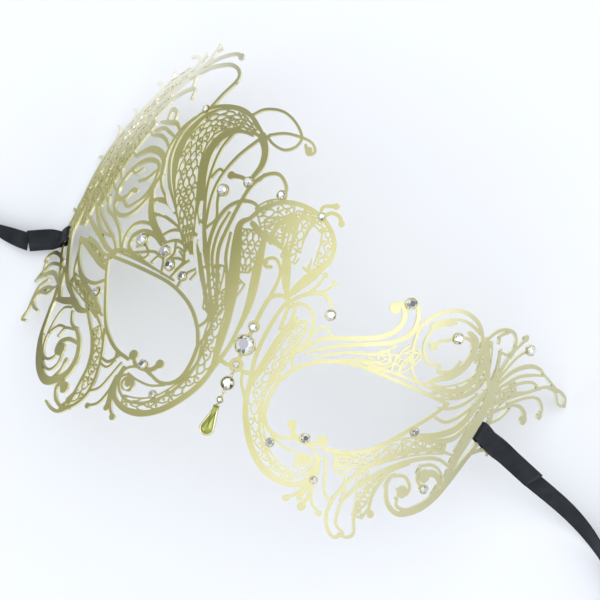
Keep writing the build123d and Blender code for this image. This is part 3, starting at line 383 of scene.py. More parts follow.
# strokes of the right lobe and its fan
right_lobe = [
    (0.9, 1, 0.8, [(6.4, 14.5), (9.4, 16.9), (12.6, 16.4), (14.8, 13.2), (15.4, 8), (14.8, 5)]),
    (0.8, 1.2, 0.8, [(5.6, 15.5), (8.4, 18.8), (10.4, 20.6), (13.6, 21.9), (16.6, 20.6), (18.2, 18.2)]),
    (0.7, 0.8, 0.6, [(9.8, 20.2), (11.4, 23.4), (12.2, 27)]),
    (0.7, 0.8, 0.6, [(11.2, 21), (14, 23), (15.4, 25.8)]),
    (0.8, 0.9, 0.7, [(10.2, 9.4), (11, 12), (13, 12.6), (13.8, 9)]),
    (0.7, 0.8, 0.7, [(15.6, 10), (17.2, 13.2), (19.4, 13.4), (21.6, 12)]),
    (1, 1, 1, [(33.2, -26.8), (33.6, -30.2), (33, -33.4)]),
    (0.9, 1.4, 1.6, [(14.2, 4.4), (19, 10.4), (27, 14.4), (33.6, 18), (37.2, 22.4),
        (37.4, 26.4), (35.4, 28.8), (33.4, 27.6), (33.9, 26.2)]),
    (0.7, 1.3, 1, [(16.2, 5), (23.5, 10.4), (32, 15), (38, 18.6),
        (41.4, 23.4), (41.2, 27.8), (39.2, 30.8), (37.2, 30.2)]),
    (0.7, 0.8, 0.7, [(19, 5), (26, 9.6), (33, 12.4), (36.4, 14.8), (38.6, 17.6)]),
    (0.7, 0.8, 0.7, [(25, 6.8), (31, 9.6), (37, 11.2)]),
    (0.7, 0.8, 0.7, [(37, 11), (38.8, 12.6), (37.6, 15), (35.2, 14.2), (35.4, 12.2)]),
    (0.6, 0.7, 0.6, [(40.4, 11), (40.2, 14), (41.2, 17.4), (42.4, 19.5)]),
    (0.6, 0.7, 0.6, [(42.4, 10.6), (42.6, 14), (44.6, 18.4)]),
    (1, 1.2, 1, [(40.4, 20.6), (43.4, 26.4), (45.4, 29.8), (49, 33.2),
        (54, 35.2), (59.4, 34.4), (63, 31.4), (64.6, 27.5)]),
    (0.8, 0.9, 0.8, [(43, 26.5), (43.2, 21.5), (44.6, 16.5), (47.2, 12.4), (50.4, 11.2)]),
    (0.9, 0.9, 1.1, [(62, 32), (56, 33), (51, 31.5), (47.6, 28), (46.2, 23.4),
        (47.4, 19.4), (50, 17.4), (53, 18.2), (54.2, 16.6)]),
    (1.8, 2.2, 1, [(46.6, 27.2), (49, 29.6), (52.6, 31.2)]),
    (1.3, 0.9, 1.2, [(49.2, 22), (50.4, 24.4), (53, 26), (56.4, 28.4), (60, 28.8), (62, 26.6)]),
    (0.8, 2.2, 1.4, [(51.4, 11.4), (54.5, 14.4), (58.6, 17.4), (61.4, 21.6),
        (62.4, 26), (61.4, 29.6), (58.4, 30.6)]),
    (0.9, 1.1, 0.8, [(54.4, 16.6), (58, 18.6), (59.4, 22)]),
    (0.9, 1.8, 1.2, [(54, 12.6), (59, 12.8), (63.4, 15), (66.8, 19.6), (67.6, 25), (65.2, 30)]),
    (0.8, 1.2, 1, [(60, 11.6), (64, 13), (68, 17), (70, 22)]),
    (1.2, 2, 1.2, [(74, 18.5), (69.6, 24), (66.4, 29), (64.6, 31.5)]),
    (0.9, 1, 0.9, [(64.4, 24), (65.2, 31.6), (68.6, 36.1), (73.6, 37.2), (76.4, 34.4), (76.6, 30.6)]),
    (0.8, 0.9, 0.7, [(71.6, 36.6), (69, 34.4), (69.6, 32.2)]),
    (0.8, 0.9, 0.7, [(76.4, 33), (74.6, 30.6), (72.4, 30.4)]),
    (1.1, 0.9, 1.3, [(74.4, 21), (75.4, 28), (77, 33), (79.4, 37.6)]),
    (0.9, 0.9, 0.9, [(75.2, 23), (78.2, 30), (80.6, 33.4), (83.2, 35.4)]),
    (0.9, 0.9, 0.7, [(73.6, 20), (73.2, 26), (71.4, 31)]),
    (1.2, 1.5, 0.6, [(74.6, 19.5), (79.6, 27), (85.6, 31.2), (91, 32.3), (94, 31.6)]),
    (1, 1, 0.6, [(75.4, 19), (82.4, 26.2), (89, 29.6), (94, 31.2)]),
    (1, 1, 0.6, [(76.2, 18), (83.4, 24.4), (90, 27.6), (95, 27)]),
    (1, 1, 0.6, [(76.6, 16.6), (83.6, 21.6), (90, 24.4)]),
    (0.6, 0.7, 0.9, [(94, 31.6), (98.6, 30.8), (104, 29.6)]),
    (1, 1, 0.9, [(76.6, 15), (84, 20.6), (91, 25), (97.4, 28.8), (104, 30), (109.4, 29.2), (111, 27)]),
    (0.8, 0.8, 0.8, [(97.4, 28.8), (103, 29), (107, 26.4), (111, 27)]),
    (0.9, 0.9, 1.2, [(84, 18.6), (90.6, 22.8), (96, 24.4), (100, 22.6), (100.4, 20)]),
    (0.9, 1, 2, [(77, 12), (82.4, 16.6), (88, 19.4), (92.6, 18.6), (93.8, 16.4)]),
    (0.8, 0.8, 0.7, [(79.6, 10.6), (83, 13.4), (85.4, 17.4)]),
    (0.9, 1.1, 0.8, [(77.4, 0), (80, 2), (82.6, 3.2), (84.6, 2.2)]),
    (3, 3.4, 2, [(75.2, 19.5), (75, 12), (73.6, 4), (72.4, -3), (72.6, -10)]),
    (1.2, 1.8, 1.2, [(76.4, 17.4), (79.4, 11.6), (78.6, 4), (76.4, -2), (74, -9),
        (71.4, -15.5), (67.4, -20.8), (61.4, -24.4), (56.4, -23), (53.6, -18.8)]),
    (1.6, 2, 1.2, [(72.4, 18), (70.6, 10), (67.6, 4.4), (62.4, 0.4), (56, -2.4)]),
    (0.9, 1, 0.9, [(70.4, 13), (67, 8), (63.2, 4.8), (59.4, 4.6)]),
    (0.8, 1.6, 1, [(72, 8), (69, 2.4), (64.6, -0.6), (58.4, -2.4)]),
    (0.9, 1, 0.9, [(70, 16), (66.4, 11.6), (62.6, 8.8), (59.4, 7.6)]),
    (0.9, 1, 1.6, [(54, -15.6), (58, -14.2), (61, -16.2), (60.9, -18.4), (58.8, -18.8)]),
    (1, 0.9, 0.8, [(53.6, -18.8), (54, -15.6), (55, -14.8)]),
    (2.6, 1.2, 0.9, [(63.6, -11.8), (67, -9.8), (70.4, -11.6), (69.6, -16.4),
        (66.4, -20.2), (63, -22.6), (59.6, -22.6), (58.6, -20.6)]),
    (0.8, 1, 0.9, [(61.6, -9.6), (62, -13), (64.8, -15)]),
    (0.8, 0.9, 0.8, [(61.4, -9.6), (65.4, -7.8), (69.6, -8.8), (71.6, -11.6)]),
    (0.9, 1.3, 0.8, [(71.4, -6), (66, -5.6), (60, -8), (54, -12.4), (49, -17.6), (45, -23.4), (43, -28)]),
    (0.8, 1, 0.8, [(71, -2.6), (64, -3.6), (57, -6.8), (50.6, -11.4), (45.4, -17), (42, -23), (40.4, -28)]),
    (0.8, 0.9, 0.7, [(57.6, -10.4), (52.6, -15), (49.2, -20.4), (48, -26)]),
    (0.8, 0.9, 0.7, [(52.4, -15.6), (51, -21), (51.2, -25.6), (52.6, -27.6)]),
    (0.9, 1, 0.9, [(40.4, -28), (40.5, -33), (42.6, -36.4), (45.4, -37.8), (47.4, -35.8)]),
    (0.7, 0.8, 0.7, [(43, -28), (43.4, -31.6), (44.4, -34.4), (47.2, -35.6)]),
    (0.8, 0.9, 0.8, [(48, -26), (48.4, -30.4), (50.4, -34.6), (48.8, -36.4), (46.4, -36.4)]),
    (0.7, 0.8, 0.7, [(41, -21), (42.5, -25), (42.8, -28)]),
]

# strokes of the left lobe and its wing, u counted outward from the bridge
left_lobe = [
    (0.7, 0.8, 0.6, [(49, 14.6), (45.6, 15.8), (42.6, 13.6), (44, 12), (46, 12.4)]),
    (0.7, 0.8, 0.6, [(40, 11.6), (38.4, 14), (36, 14.6)]),
    (0.6, 0.8, 0.6, [(33, 18.5), (30, 17.6), (28.4, 15)]),
    (0.7, 0.7, 0.6, [(30, 12), (28.8, 15.4), (31.6, 17.4)]),
    (0.6, 0.7, 0.6, [(24, 11), (22.6, 14.4), (20, 17)]),
    (0.9, 1.2, 0.9, [(62, -5.6), (55, -10.6), (49, -15.6), (45.6, -21),
        (45.6, -28), (46.4, -33.4), (49.2, -37.2)]),
    (0.9, 0.9, 0.9, [(46, -11.4), (42.2, -18.6), (40.5, -25), (40.6, -30.4), (43.6, -34.8), (49, -37.6)]),
    (0.7, 1.1, 0.7, [(43.4, -34.8), (48.4, -38.3), (52.6, -38.7), (57.6, -37.4)]),
    (1, 1.2, 3, [(48.6, -37.2), (53, -35.6), (55.4, -32.6), (53.8, -30.8), (51.6, -31.6)]),
    (1.2, 2.8, 1.6, [(60, -14.2), (55, -17.6), (52.4, -22.4), (53.4, -27.4), (57.6, -30.6), (63, -31.9),
        (69, -30.4), (75, -26.8), (80.4, -20.6), (83, -13), (84.4, -6)]),
    (1, 1.4, 3.2, [(54.4, -18.4), (58, -18), (62, -18.2), (65.8, -20), (65.4, -22.4), (63, -22)]),
    (1, 0.9, 0.8, [(65.8, -20.6), (64.8, -24), (68.6, -26), (73.4, -25),
        (76.4, -20.4), (76.2, -14), (73.6, -9.8), (68.4, -8.8)]),
    (0.9, 0.9, 0.9, [(61.6, -22), (61, -26), (64.2, -28.6), (69.6, -28), (75.4, -24.4), (80, -19.6)]),
    (1.2, 0.9, 0.8, [(57.4, -24.4), (57.8, -27.4), (60.6, -31)]),
    (0.8, 1, 0.8, [(59.6, -14.4), (64, -13.4), (67.6, -10)]),
    (0.8, 0.9, 0.8, [(60, -14.8), (66.6, -15.4), (69, -18.4)]),
    (0.8, 0.9, 0.8, [(66, -15.2), (71.6, -15.4), (76, -18.4)]),
    (1.4, 2.6, 1.4, [(59, -8.6), (64, -8.6), (69.4, -7), (75, -7.6), (82, -8)]),
    (1.2, 1.2, 0.9, [(56.4, 2.2), (62, 0.2), (70, 0.8), (77, 3.8), (82, 8), (86, 12.4)]),
    (1.3, 2, 1.2, [(58.6, 5.4), (64, 6.4), (71, 8.6), (78, 10.6), (86, 12.6)]),
    (0.9, 1, 0.8, [(61, 9.6), (67, 9.8), (73, 12), (79.4, 12.6), (84.8, 12.4)]),
    (1.2, 1.8, 0.9, [(58, 10.4), (65, 11.8), (73, 14.8), (81, 17.4), (90, 21)]),
    (1, 1, 0.8, [(57.6, 11), (62.6, 14.6), (72, 18.4), (80, 22), (86, 27)]),
    (1, 1.2, 0.8, [(57, 13.4), (62, 17.8), (69, 21.2), (76, 23.6), (80, 28)]),
    (1, 1.2, 0.8, [(64, 15.4), (74, 16.6), (84, 22.4), (92, 29)]),
    (0.8, 0.9, 0.8, [(50, -8), (57, -4.4), (63, -2.4), (69, -0.8), (76, 2.6)]),
    (0.8, 0.9, 0.8, [(49, -10.4), (56, -7), (63, -4.6), (70, -2.2), (78, 1), (83, 8)]),
    (1.2, 2, 1.4, [(66, -7.6), (74, -4.6), (81, -1.2), (88, 5), (93, 10.6), (97, 17)]),
    (1.2, 1.4, 1.2, [(84.4, -8), (87, -2.4), (91.4, 2.6), (96.4, 8), (100.2, 14), (99.8, 19)]),
    (1.6, 2, 1.4, [(80, -7.6), (84, -4), (87.4, 2)]),
    (1, 1.8, 0.8, [(87, -3), (93, -0.6), (98, -1), (104, -3), (107, -4.6)]),
    (1, 1.2, 0.8, [(89, 2), (94, 2.6), (100, 2), (104, -1), (106.4, -3.6)]),
    (1, 1.4, 0.8, [(91, 4), (96, 5.6), (101, 6), (105.6, 4.6), (107, 2.6)]),
    (1, 1.6, 0.8, [(88, -5), (94, -5.6), (99, -8), (100, -11), (97, -12.6), (92.4, -13.4)]),
    (1, 1.4, 0.9, [(96, -3), (101, -6), (101.6, -10), (101, -14), (102.4, -17.4), (98.6, -17.6)]),
    (1, 1.2, 0.8, [(86.4, -4), (91, -7), (95, -7.4), (99, -8)]),
    (1, 1, 0.8, [(99, -2), (103.4, -1.4), (105.4, 2), (107, 2.6)]),
    (1, 1.8, 1.4, [(55.4, 35.4), (57.2, 40.2), (62, 41.5), (67.6, 40.6), (72.4, 37.6), (75.4, 33.4),
        (75.2, 29), (71.6, 27.4), (68, 28.6), (66, 31), (63, 31)]),
    (0.9, 1.2, 0.8, [(55.4, 36), (56.8, 30.6), (60, 27.4), (64.4, 25.6), (69.4, 27.6)]),
    (0.8, 1.4, 1.2, [(54, 38), (54.4, 32), (57, 26.6), (61.6, 23.2),
        (67.6, 22.6), (72.6, 24.4), (75.8, 29.4)]),
    (0.9, 1.4, 0.8, [(56.2, 39.4), (60, 35.6), (64.6, 34.2)]),
    (0.8, 0.9, 0.9, [(72.4, 37.4), (69, 36.4), (65.8, 38.2)]),
    (1.5, 2.4, 1, [(53.4, 37.5), (56.4, 42.6), (62, 44.6), (68, 44.6), (74.6, 42)]),
    (0.9, 1.8, 1, [(38.6, 17), (43.6, 19.4), (49.4, 19.4), (53.2, 17), (52.6, 13.8), (49, 12.2)]),
    (0.8, 1.1, 0.9, [(40.4, 19.6), (44, 21.8), (51, 22.2), (55.6, 20.4), (57.2, 16.6), (55.4, 12.2)]),
    (1, 2.6, 1.2, [(38, 18.4), (43.4, 20.8), (48.6, 24.4), (52.4, 29), (54.6, 33)]),
    (0.8, 1, 0.8, [(36, 24), (43, 25.6), (49.4, 25.4)]),
    (1, 1.8, 0.9, [(39.6, 27.6), (45, 30), (50, 29.8), (52.4, 28.6)]),
    (0.8, 0.9, 0.8, [(50.6, 12.2), (46, 13.4), (41, 14.8), (38.4, 14.4)]),
    (0.9, 1.2, 0.9, [(61, 10), (57, 12.2), (50.6, 12.2), (44, 11.2), (38, 10.2)]),
    (0.8, 0.9, 0.8, [(38.4, 18.6), (38.6, 14.6), (36, 13.6), (34.4, 9.6)]),
    (0.8, 0.9, 0.8, [(34.4, 19.6), (33.2, 16.4), (34.6, 13.6)]),
    (0.8, 0.9, 0.8, [(28, 15.2), (31, 15.4), (33.8, 14.4)]),
    (0.8, 0.9, 0.8, [(30.8, 9.2), (29.4, 12.6), (27.2, 15.8)]),
    (0.8, 0.9, 0.8, [(27, 7.4), (26.4, 11.6), (23, 15)]),
    (0.9, 1.1, 0.8, [(23.4, 20.6), (29, 19.4), (34, 20.2), (38.2, 18.4)]),
    (0.9, 1, 0.8, [(26.4, 23.6), (32, 23.6), (37.4, 22.6), (41, 19.9)]),
    (0.9, 1.4, 0.9, [(56, 46), (60, 48.4), (65, 49.6), (70, 49.4)]),
    (0.9, 1.2, 0.9, [(55, 49.6), (60, 51), (65, 52.2), (70, 51)]),
    (0.9, 1.6, 0.9, [(54, 51.4), (58, 54), (63, 54.2), (68.6, 54)]),
    (0.9, 1.4, 0.9, [(64.6, 53.8), (65.6, 58.4), (61.6, 57.6), (60.6, 54)]),
    (1, 1.4, 1, [(74.8, 29), (82, 33), (86, 40), (84.6, 49), (78.6, 57),
        (70.6, 64), (63.6, 69.6), (57, 75.4), (55.4, 81)]),
    (1, 1.4, 1, [(79, 26), (87.6, 31), (92.4, 40), (90.6, 49), (84.6, 57),
        (78.6, 63), (71, 68.6), (63, 73.4), (60, 78)]),
    (1, 1.6, 1, [(97, 17), (99.6, 25), (99.6, 35), (97, 43.6), (92, 51),
        (86, 57.6), (80, 62.8), (76, 67.6), (75.4, 71)]),
    (1, 1.2, 0.9, [(90, 21), (95, 30), (96.4, 38), (94.4, 46)]),
    (0.9, 1.2, 0.9, [(74.4, 42), (79, 44), (81, 49), (77, 54.6),
        (70.6, 60), (65, 64), (58, 66), (57, 62.6)]),
    (0.9, 1.2, 0.9, [(70, 49.4), (75, 52), (74, 57), (69, 62)]),
    (0.9, 1.2, 0.9, [(75.6, 33), (80, 37), (80.6, 42.6), (78, 44)]),
    (0.8, 1, 0.8, [(59.4, 66), (60, 70), (58, 74.4)]),
    (0.9, 1, 0.8, [(62, 74.4), (65, 76.6), (69, 76.4)]),
    (0.9, 1, 0.8, [(57, 75), (56, 78.6), (53.4, 80)]),
    (0.9, 1, 0.8, [(79, 64), (81.4, 67), (84.4, 67)]),
    (0.9, 1, 0.8, [(89.4, 53.6), (89.6, 57), (93, 57.6)]),
    (0.9, 1, 0.8, [(95.4, 46), (96.4, 50), (100, 51.6)]),
    (0.9, 1, 0.8, [(98.4, 39), (100.6, 40.4), (103, 40.2)]),
    (0.9, 1, 0.8, [(99.4, 22), (101.4, 21), (103, 21.6)]),
    (0.9, 1, 0.8, [(54.4, 73.4), (60, 71), (64, 69)]),
]

# strokes of the bridge, the medallion and the plume, u positive to the right
plume = [
    (1, 2.6, 1.2, [(-3.6, 4), (-4.2, 12), (-6, 20), (-7.6, 27), (-8.6, 31.6)]),
    (1.4, 3.4, 1.2, [(-7.4, 3), (-9.6, 11), (-12.6, 19), (-15.4, 26), (-16.8, 31), (-14.8, 33.4)]),
    (0.9, 1, 0.8, [(-10.2, 8), (-13.4, 15.4), (-16.6, 21), (-18.4, 27.6)]),
    (0.9, 1.2, 0.9, [(-12, 6), (-16, 14), (-19.6, 22), (-20, 30), (-19.6, 38),
        (-18.6, 43), (-16, 46.8), (-12.4, 48.2), (-9, 46), (-7.6, 42.4)]),
    (0.9, 1.3, 0.9, [(-13, 5), (-18.4, 13), (-22.8, 21), (-24.2, 28),
        (-23.2, 33.6), (-20, 37), (-16, 38), (-12, 36.4)]),
    (0.8, 1, 0.8, [(-17.2, 14), (-20.8, 20), (-22.2, 27), (-21.6, 33)]),
    (1, 1.6, 1, [(-14, 4.4), (-20.4, 12.6), (-25.8, 20), (-28.6, 27)]),
    (1.1, 3.2, 1.6, [(-20, 15.4), (-27.6, 26), (-33.4, 34.6), (-37, 42.6),
        (-37.8, 48.6), (-35.8, 53.4), (-31.4, 56.6), (-27, 57)]),
    (0.9, 0.9, 0.9, [(-26.6, 26.6), (-24.8, 30), (-26.8, 34.4), (-28, 37.6)]),
    (0.8, 0.9, 1, [(-27, 26.6), (-29.6, 35), (-29.8, 41.6), (-27.4, 49), (-22.8, 56.2)]),
    (0.8, 0.9, 0.8, [(-28.6, 29), (-32.2, 36.6), (-34, 44), (-34, 50.4), (-32, 56)]),
    (0.8, 0.9, 0.7, [(-32.8, 41), (-31.4, 43.8), (-29.4, 43.6)]),
    (1, 3.6, 1.4, [(-22, 14), (-31, 23.4), (-40, 31.4), (-47.2, 39.4),
        (-50.6, 46), (-50, 52), (-46.4, 57.4), (-42, 60.4)]),
    (0.9, 1.2, 0.9, [(-27.6, 18), (-38, 26.8), (-47, 34.6), (-52.6, 42),
        (-54, 48), (-52.6, 53.6), (-49, 58.2)]),
    (0.9, 1, 0.9, [(-40, 28.6), (-47, 31.6), (-52.4, 35.8), (-55.8, 43.4),
        (-56, 48.6), (-54, 53.4), (-50.4, 57)]),
    (0.9, 1.2, 1, [(-49, 58.2), (-45, 61), (-39, 62.6), (-33, 62.8), (-28, 61.2), (-22.4, 57.4)]),
    (0.8, 1, 0.9, [(-43, 60.4), (-37, 61), (-31, 60.8), (-25, 58.6)]),
    (0.8, 1, 0.9, [(-27, 57), (-24.6, 57), (-22.4, 56.4)]),
    (2.6, 2, 1.3, [(-22.6, 57), (-19.6, 53.2), (-18.6, 49), (-19.6, 45)]),
    (0.8, 0.8, 0.8, [(-29, 62), (-25.6, 64.8), (-20, 65.8), (-15, 64.2), (-11, 60.8),
        (-11.2, 57.6), (-14, 55.4), (-18, 55.8), (-21, 57.4)]),
    (0.8, 0.8, 0.9, [(-20.6, 58), (-16, 60), (-10.6, 60.5), (-7.2, 60),
        (-5.4, 58), (-7, 56.6), (-8.8, 58.8)]),
    (1.8, 1.2, 1.6, [(-26.4, 43.3), (-23, 43.7), (-20, 43.2)]),
    (0.9, 0.9, 0.9, [(-20, 43.2), (-17.4, 44.6), (-16.6, 46.6)]),
    (0.8, 1.2, 0.9, [(-46.6, 59.4), (-43.4, 65.6), (-40.2, 71), (-41.4, 74),
        (-45.4, 75.2), (-50, 74.6), (-55, 73.2), (-61, 71)]),
    (0.7, 0.9, 1.4, [(-58, 73.6), (-52, 77), (-46, 78.8), (-43, 78.4)]),
    (1.3, 1.3, 1.3, [(-14.8, 33.4), (-12.4, 37.6), (-8, 41), (-3, 42.4), (2.6, 42),
        (7.4, 39.8), (10.8, 36), (11.6, 31.4), (10.2, 27)]),
    (0.9, 2.8, 1.2, [(11.4, 31), (9.4, 26.4), (7, 21.6), (5.2, 17.4)]),
    (0.8, 2.6, 1.2, [(-1.4, 30), (0.8, 25.6), (3, 20.6), (4.8, 17.4)]),
    (1, 1, 1.4, [(7.6, 25.6), (6.2, 30), (3.6, 35.4), (2.6, 40)]),
    (0.8, 0.8, 0.9, [(6.8, 26), (5.4, 27), (2.6, 33), (2.4, 37)]),
    (0.8, 1.2, 2.2, [(-2.6, 30), (-3.6, 34), (-2.6, 38)]),
    (0.8, 1.2, 2.2, [(-6, 29), (-6.4, 34), (-3.4, 38.4)]),
    (0.8, 1.2, 1.8, [(0.4, 28), (-0.4, 33), (-1.6, 38)]),
    (1.6, 2.2, 1, [(-13.4, 32.4), (-9, 30.4), (-5, 30), (-2, 29)]),
    (0.8, 0.9, 1.3, [(3.8, 41.8), (3.6, 44.4), (6.8, 46)]),
    (0.9, 1, 1.4, [(4.6, 41.4), (6.2, 43.6), (8.8, 43.7), (10.3, 41.9)]),
    (1.2, 1.2, 1, [(0, 4.6), (0.1, 11), (0.8, 15), (3.2, 16.8), (5.2, 16.6)]),
    (0.9, 0.9, 1, [(0.1, 11), (0.7, 18), (0.2, 23), (-2.6, 25.6), (-5, 24.4), (-4.4, 22.6), (-2.8, 23)]),
    (0.9, 1, 0.9, [(4.8, 17.2), (6.4, 14.4), (7, 8)]),
    (0.9, 1, 0.9, [(5.2, 17), (8.2, 15.2), (9, 11)]),
    (1.4, 1.1, 1.4, [(-5.4, -6.4), (-2.4, -6.9), (0, -6.2), (2.4, -6.9), (5.4, -6.4)]),
    (1.2, 1.2, 1.2, [(0, 4.4), (0, 0), (0, -7)]),
    (0.8, 0.8, 0.8, [(2.6, -7.4), (3.6, -10), (6.6, -14)]),
    (0.8, 0.8, 0.8, [(-3.9, 0), (0, 0), (3.9, 0)]),
]

# round seats and knobs: u, v, radius
both_dots = [
    (21.1, -14.4, 1.3), (30.7, -15, 1.5), (28.1, -33.4, 1), (38.4, -33.5, 0.9), (31.5, -31.8, 0.9),
    (25.9, -16.6, 1.6), (28.3, -23.1, 2.2),
]

# the right lobe's
right_dots = [
    (33.9, 27.1, 1.6), (49.2, 22.3, 1.2), (79.4, 37.8, 1.1), (83.2, 35.5, 1.7), (100.4, 20.2, 1.2),
    (93.7, 16.6, 1.5), (59.3, -18.4, 1.8), (52.8, -27.8, 1.1), (33, -33.8, 1.2), (64.2, -11.6, 2),
    (66, -15, 1.5), (54.9, -1.7, 1.6), (18.2, 17.4, 1.7), (37.6, 30.2, 1.8), (55.4, 27.6, 1.8),
    (33, -25.8, 1.4), (17.6, -21.6, 1.4), (12.2, 27, 0.8), (15.5, 25.9, 0.8),
]

# the left lobe's, u counted outward
left_dots = [
    (51.5, -31.6, 1.8), (63, -21.8, 2.1), (57.2, -24.2, 0.9), (47.6, 17, 2.1), (36.6, 16, 1.9),
    (32.6, 12.6, 1.8), (26.8, 11, 1.6), (58, -2, 1.8), (19, -23, 1.3),
]

# the bridge's and the plume's
plume_dots = [
    (-26.6, 43.3, 1.2), (-20, 43.1, 1.8), (-8.9, 42.9, 1.6), (-26.8, 38.4, 1.9), (-43, 78.3, 1.1),
    (-47.4, 60.2, 1.4), (6.9, 46, 0.9), (10.3, 42, 0.9), (4.4, 41.6, 1.4), (0, 0, 3), (0, 5.8, 1.7),
    (0, -6, 2.1), (-5, 23.6, 0.9), (-7.2, 57.8, 1),
]

# lace bands of both lobes, right-hand side given: width at the start, the middle and the end, then the line
both_lace = [
    (3.4, 4.4, 3.0, [(12, 11), (11, 4), (10, -3), (8.6, -9), (9.8, -14.6), (12.6, -20), (17, -24.8),
        (22, -27.2), (27.4, -28)]),
]
right_lace = [
    (3, 4.6, 3, [(55, 11), (60, 12.6), (65, 16), (68.4, 21), (67.4, 27), (65.6, 31)]),
    (3, 5.4, 3.4, [(36, -17.4), (43, -15.4), (49, -10.6), (55, -6.4), (61, -3.6), (67, -1.8)]),
    (3, 5, 3, [(44, -17), (47, -20.6), (49, -25), (49.4, -30)]),
    (3, 5, 4, [(74, 12), (77, 16), (80, 20), (84, 23.6)]),
    (3, 5, 3, [(33, 10.4), (38, 12), (42.4, 14), (46, 19)]),
]
left_lace = [
    (4, 5, 3.6, [(50, -12), (45, -18), (43, -25), (43.5, -31), (46.5, -35.5)]),
    (2.6, 4, 3, [(52, -8), (60, -4.6), (70, -2), (78, 0)]),
    (2.4, 3.4, 2.4, [(60, 7.6), (66, 8.4), (72, 10.4), (80, 12.6)]),
    (3, 4.2, 3, [(14.6, 5), (16, 11.5), (17, 18)]),
]
plume_lace = [
    (3, 4.4, 2.4, [(-14, 4), (-12, 8), (-10.4, 12), (-8.8, 16)]),
    (3, 8, 6.4, [(-9.4, 18.6), (-11.4, 25), (-12.8, 30.6)]),
    (6, 7.4, 5, [(-12.6, 34.6), (-9, 37.6), (-3.4, 39.4)]),
    (5, 6, 5, [(-9.4, 32.4), (-6, 34), (-2.6, 35)]),
    (4.6, 6, 5, [(0.8, 26.6), (1.2, 33), (-0.4, 41)]),
    (2.6, 3, 2.6, [(-1, 40.8), (3, 40.4), (6.6, 38.6)]),
    (3, 4.4, 2.6, [(7.6, 38.6), (9.6, 34), (9.4, 28.4)]),
]
# bolder lace that is cut out of the broad blades of the plume
cut_lace = [
    (2.6, 9.4, 3, [(-29, 19), (-33, 25), (-36.8, 30.5), (-40.3, 36), (-43, 41), (-44.4, 46), (-44.4, 51),
        (-42, 56), (-37, 58.8), (-31, 59.3), (-25.4, 57.6)]),
]
# lace between the bars of the crest, u counted outward from the bridge
crest_lace = [
    (5, 7, 4, [(97, 12), (97.4, 24), (93.6, 38), (86, 52), (76, 64), (66, 71)]),
    (4, 6, 4, [(90, 17), (90.4, 28), (87, 40), (80, 52), (70, 62.4)]),
    (3, 5.6, 3, [(84, 24), (83.6, 34), (79.4, 45), (72.6, 54)]),
]
# openings that nothing crosses: slim drops between the blades, and the crescents of two curl heads
open_tears = [
    (3.0, 3.6, 1.2, [(5.2, 28), (4.6, 33), (3.6, 37.6)]),
    (0.4, 0.9, 0.4, [(27.0, -23.6), (27.9, -24.5), (29.2, -24.0), (29.5, -22.8)]),
    (0.4, 0.9, 0.4, [(-27.0, -23.6), (-27.9, -24.5), (-29.2, -24.0), (-29.5, -22.8)]),
    (1.2, 1.4, 0.8, [(-32, 33), (-31, 30.5), (-29.6, 28.4)]),
    (1.2, 1.7, 0.8, [(-28.8, 26.6), (-27, 23), (-24.4, 19.4)]),
    (0.8, 1.1, 0.6, [(-28.8, 22.6), (-26.2, 18.4), (-22.8, 14)]),
    (0.6, 0.9, 0.5, [(-24.4, 16), (-21.6, 12.2), (-18.6, 9)]),
    (1.2, 1.9, 1, [(-47.4, 33.4), (-44.2, 30.4), (-40.6, 28)]),
    (1, 1.8, 0.8, [(-49.4, 29), (-46.6, 27.2), (-43.6, 26.2)]),
]


# ---------------------------------------------------------------- the filigree
def curve_through(points, closest=4):
    """Smooth line through points: a sample about each 0.7 mm, and at least closest of them to a run."""
    line = []
    ends = [2 * Vector(points[0]) - Vector(points[1])]
    knots = ends + [Vector(p) for p in points] + [2 * Vector(points[-1]) - Vector(points[-2])]
    for before, here, after, beyond in zip(knots, knots[1:], knots[2:], knots[3:]):
        steps = min(12, max(closest, ceil((after - here).length / 0.7)))
        for i in range(steps):
            t = i / steps
            line.append(0.5 * (2 * here + (after - before) * t
                               + (2 * before - 5 * here + 4 * after - beyond) * t**2
                               + (3 * here - before - 3 * after + beyond) * t**3))
    line.append(knots[-2])
    return line


def half_width(widths, t):
    """Half width at t of the way along a stroke that swells between its ends."""
    start, middle, end = widths
    tip = start if t < 0.5 else end
    return (tip + (middle - tip) * sin(pi * t)) / 2


def inside(corners, x, y):
    """Whether (x, y) lies in the polygon, by counting the sides crossed to its right."""
    hit = False
    for (x0, y0), (x1, y1) in zip(corners, corners[1:] + corners[:1]):
        if (y0 > y) != (y1 > y) and x < x0 + (y - y0) * (x1 - x0) / (y1 - y0):
            hit = not hit
    return hit


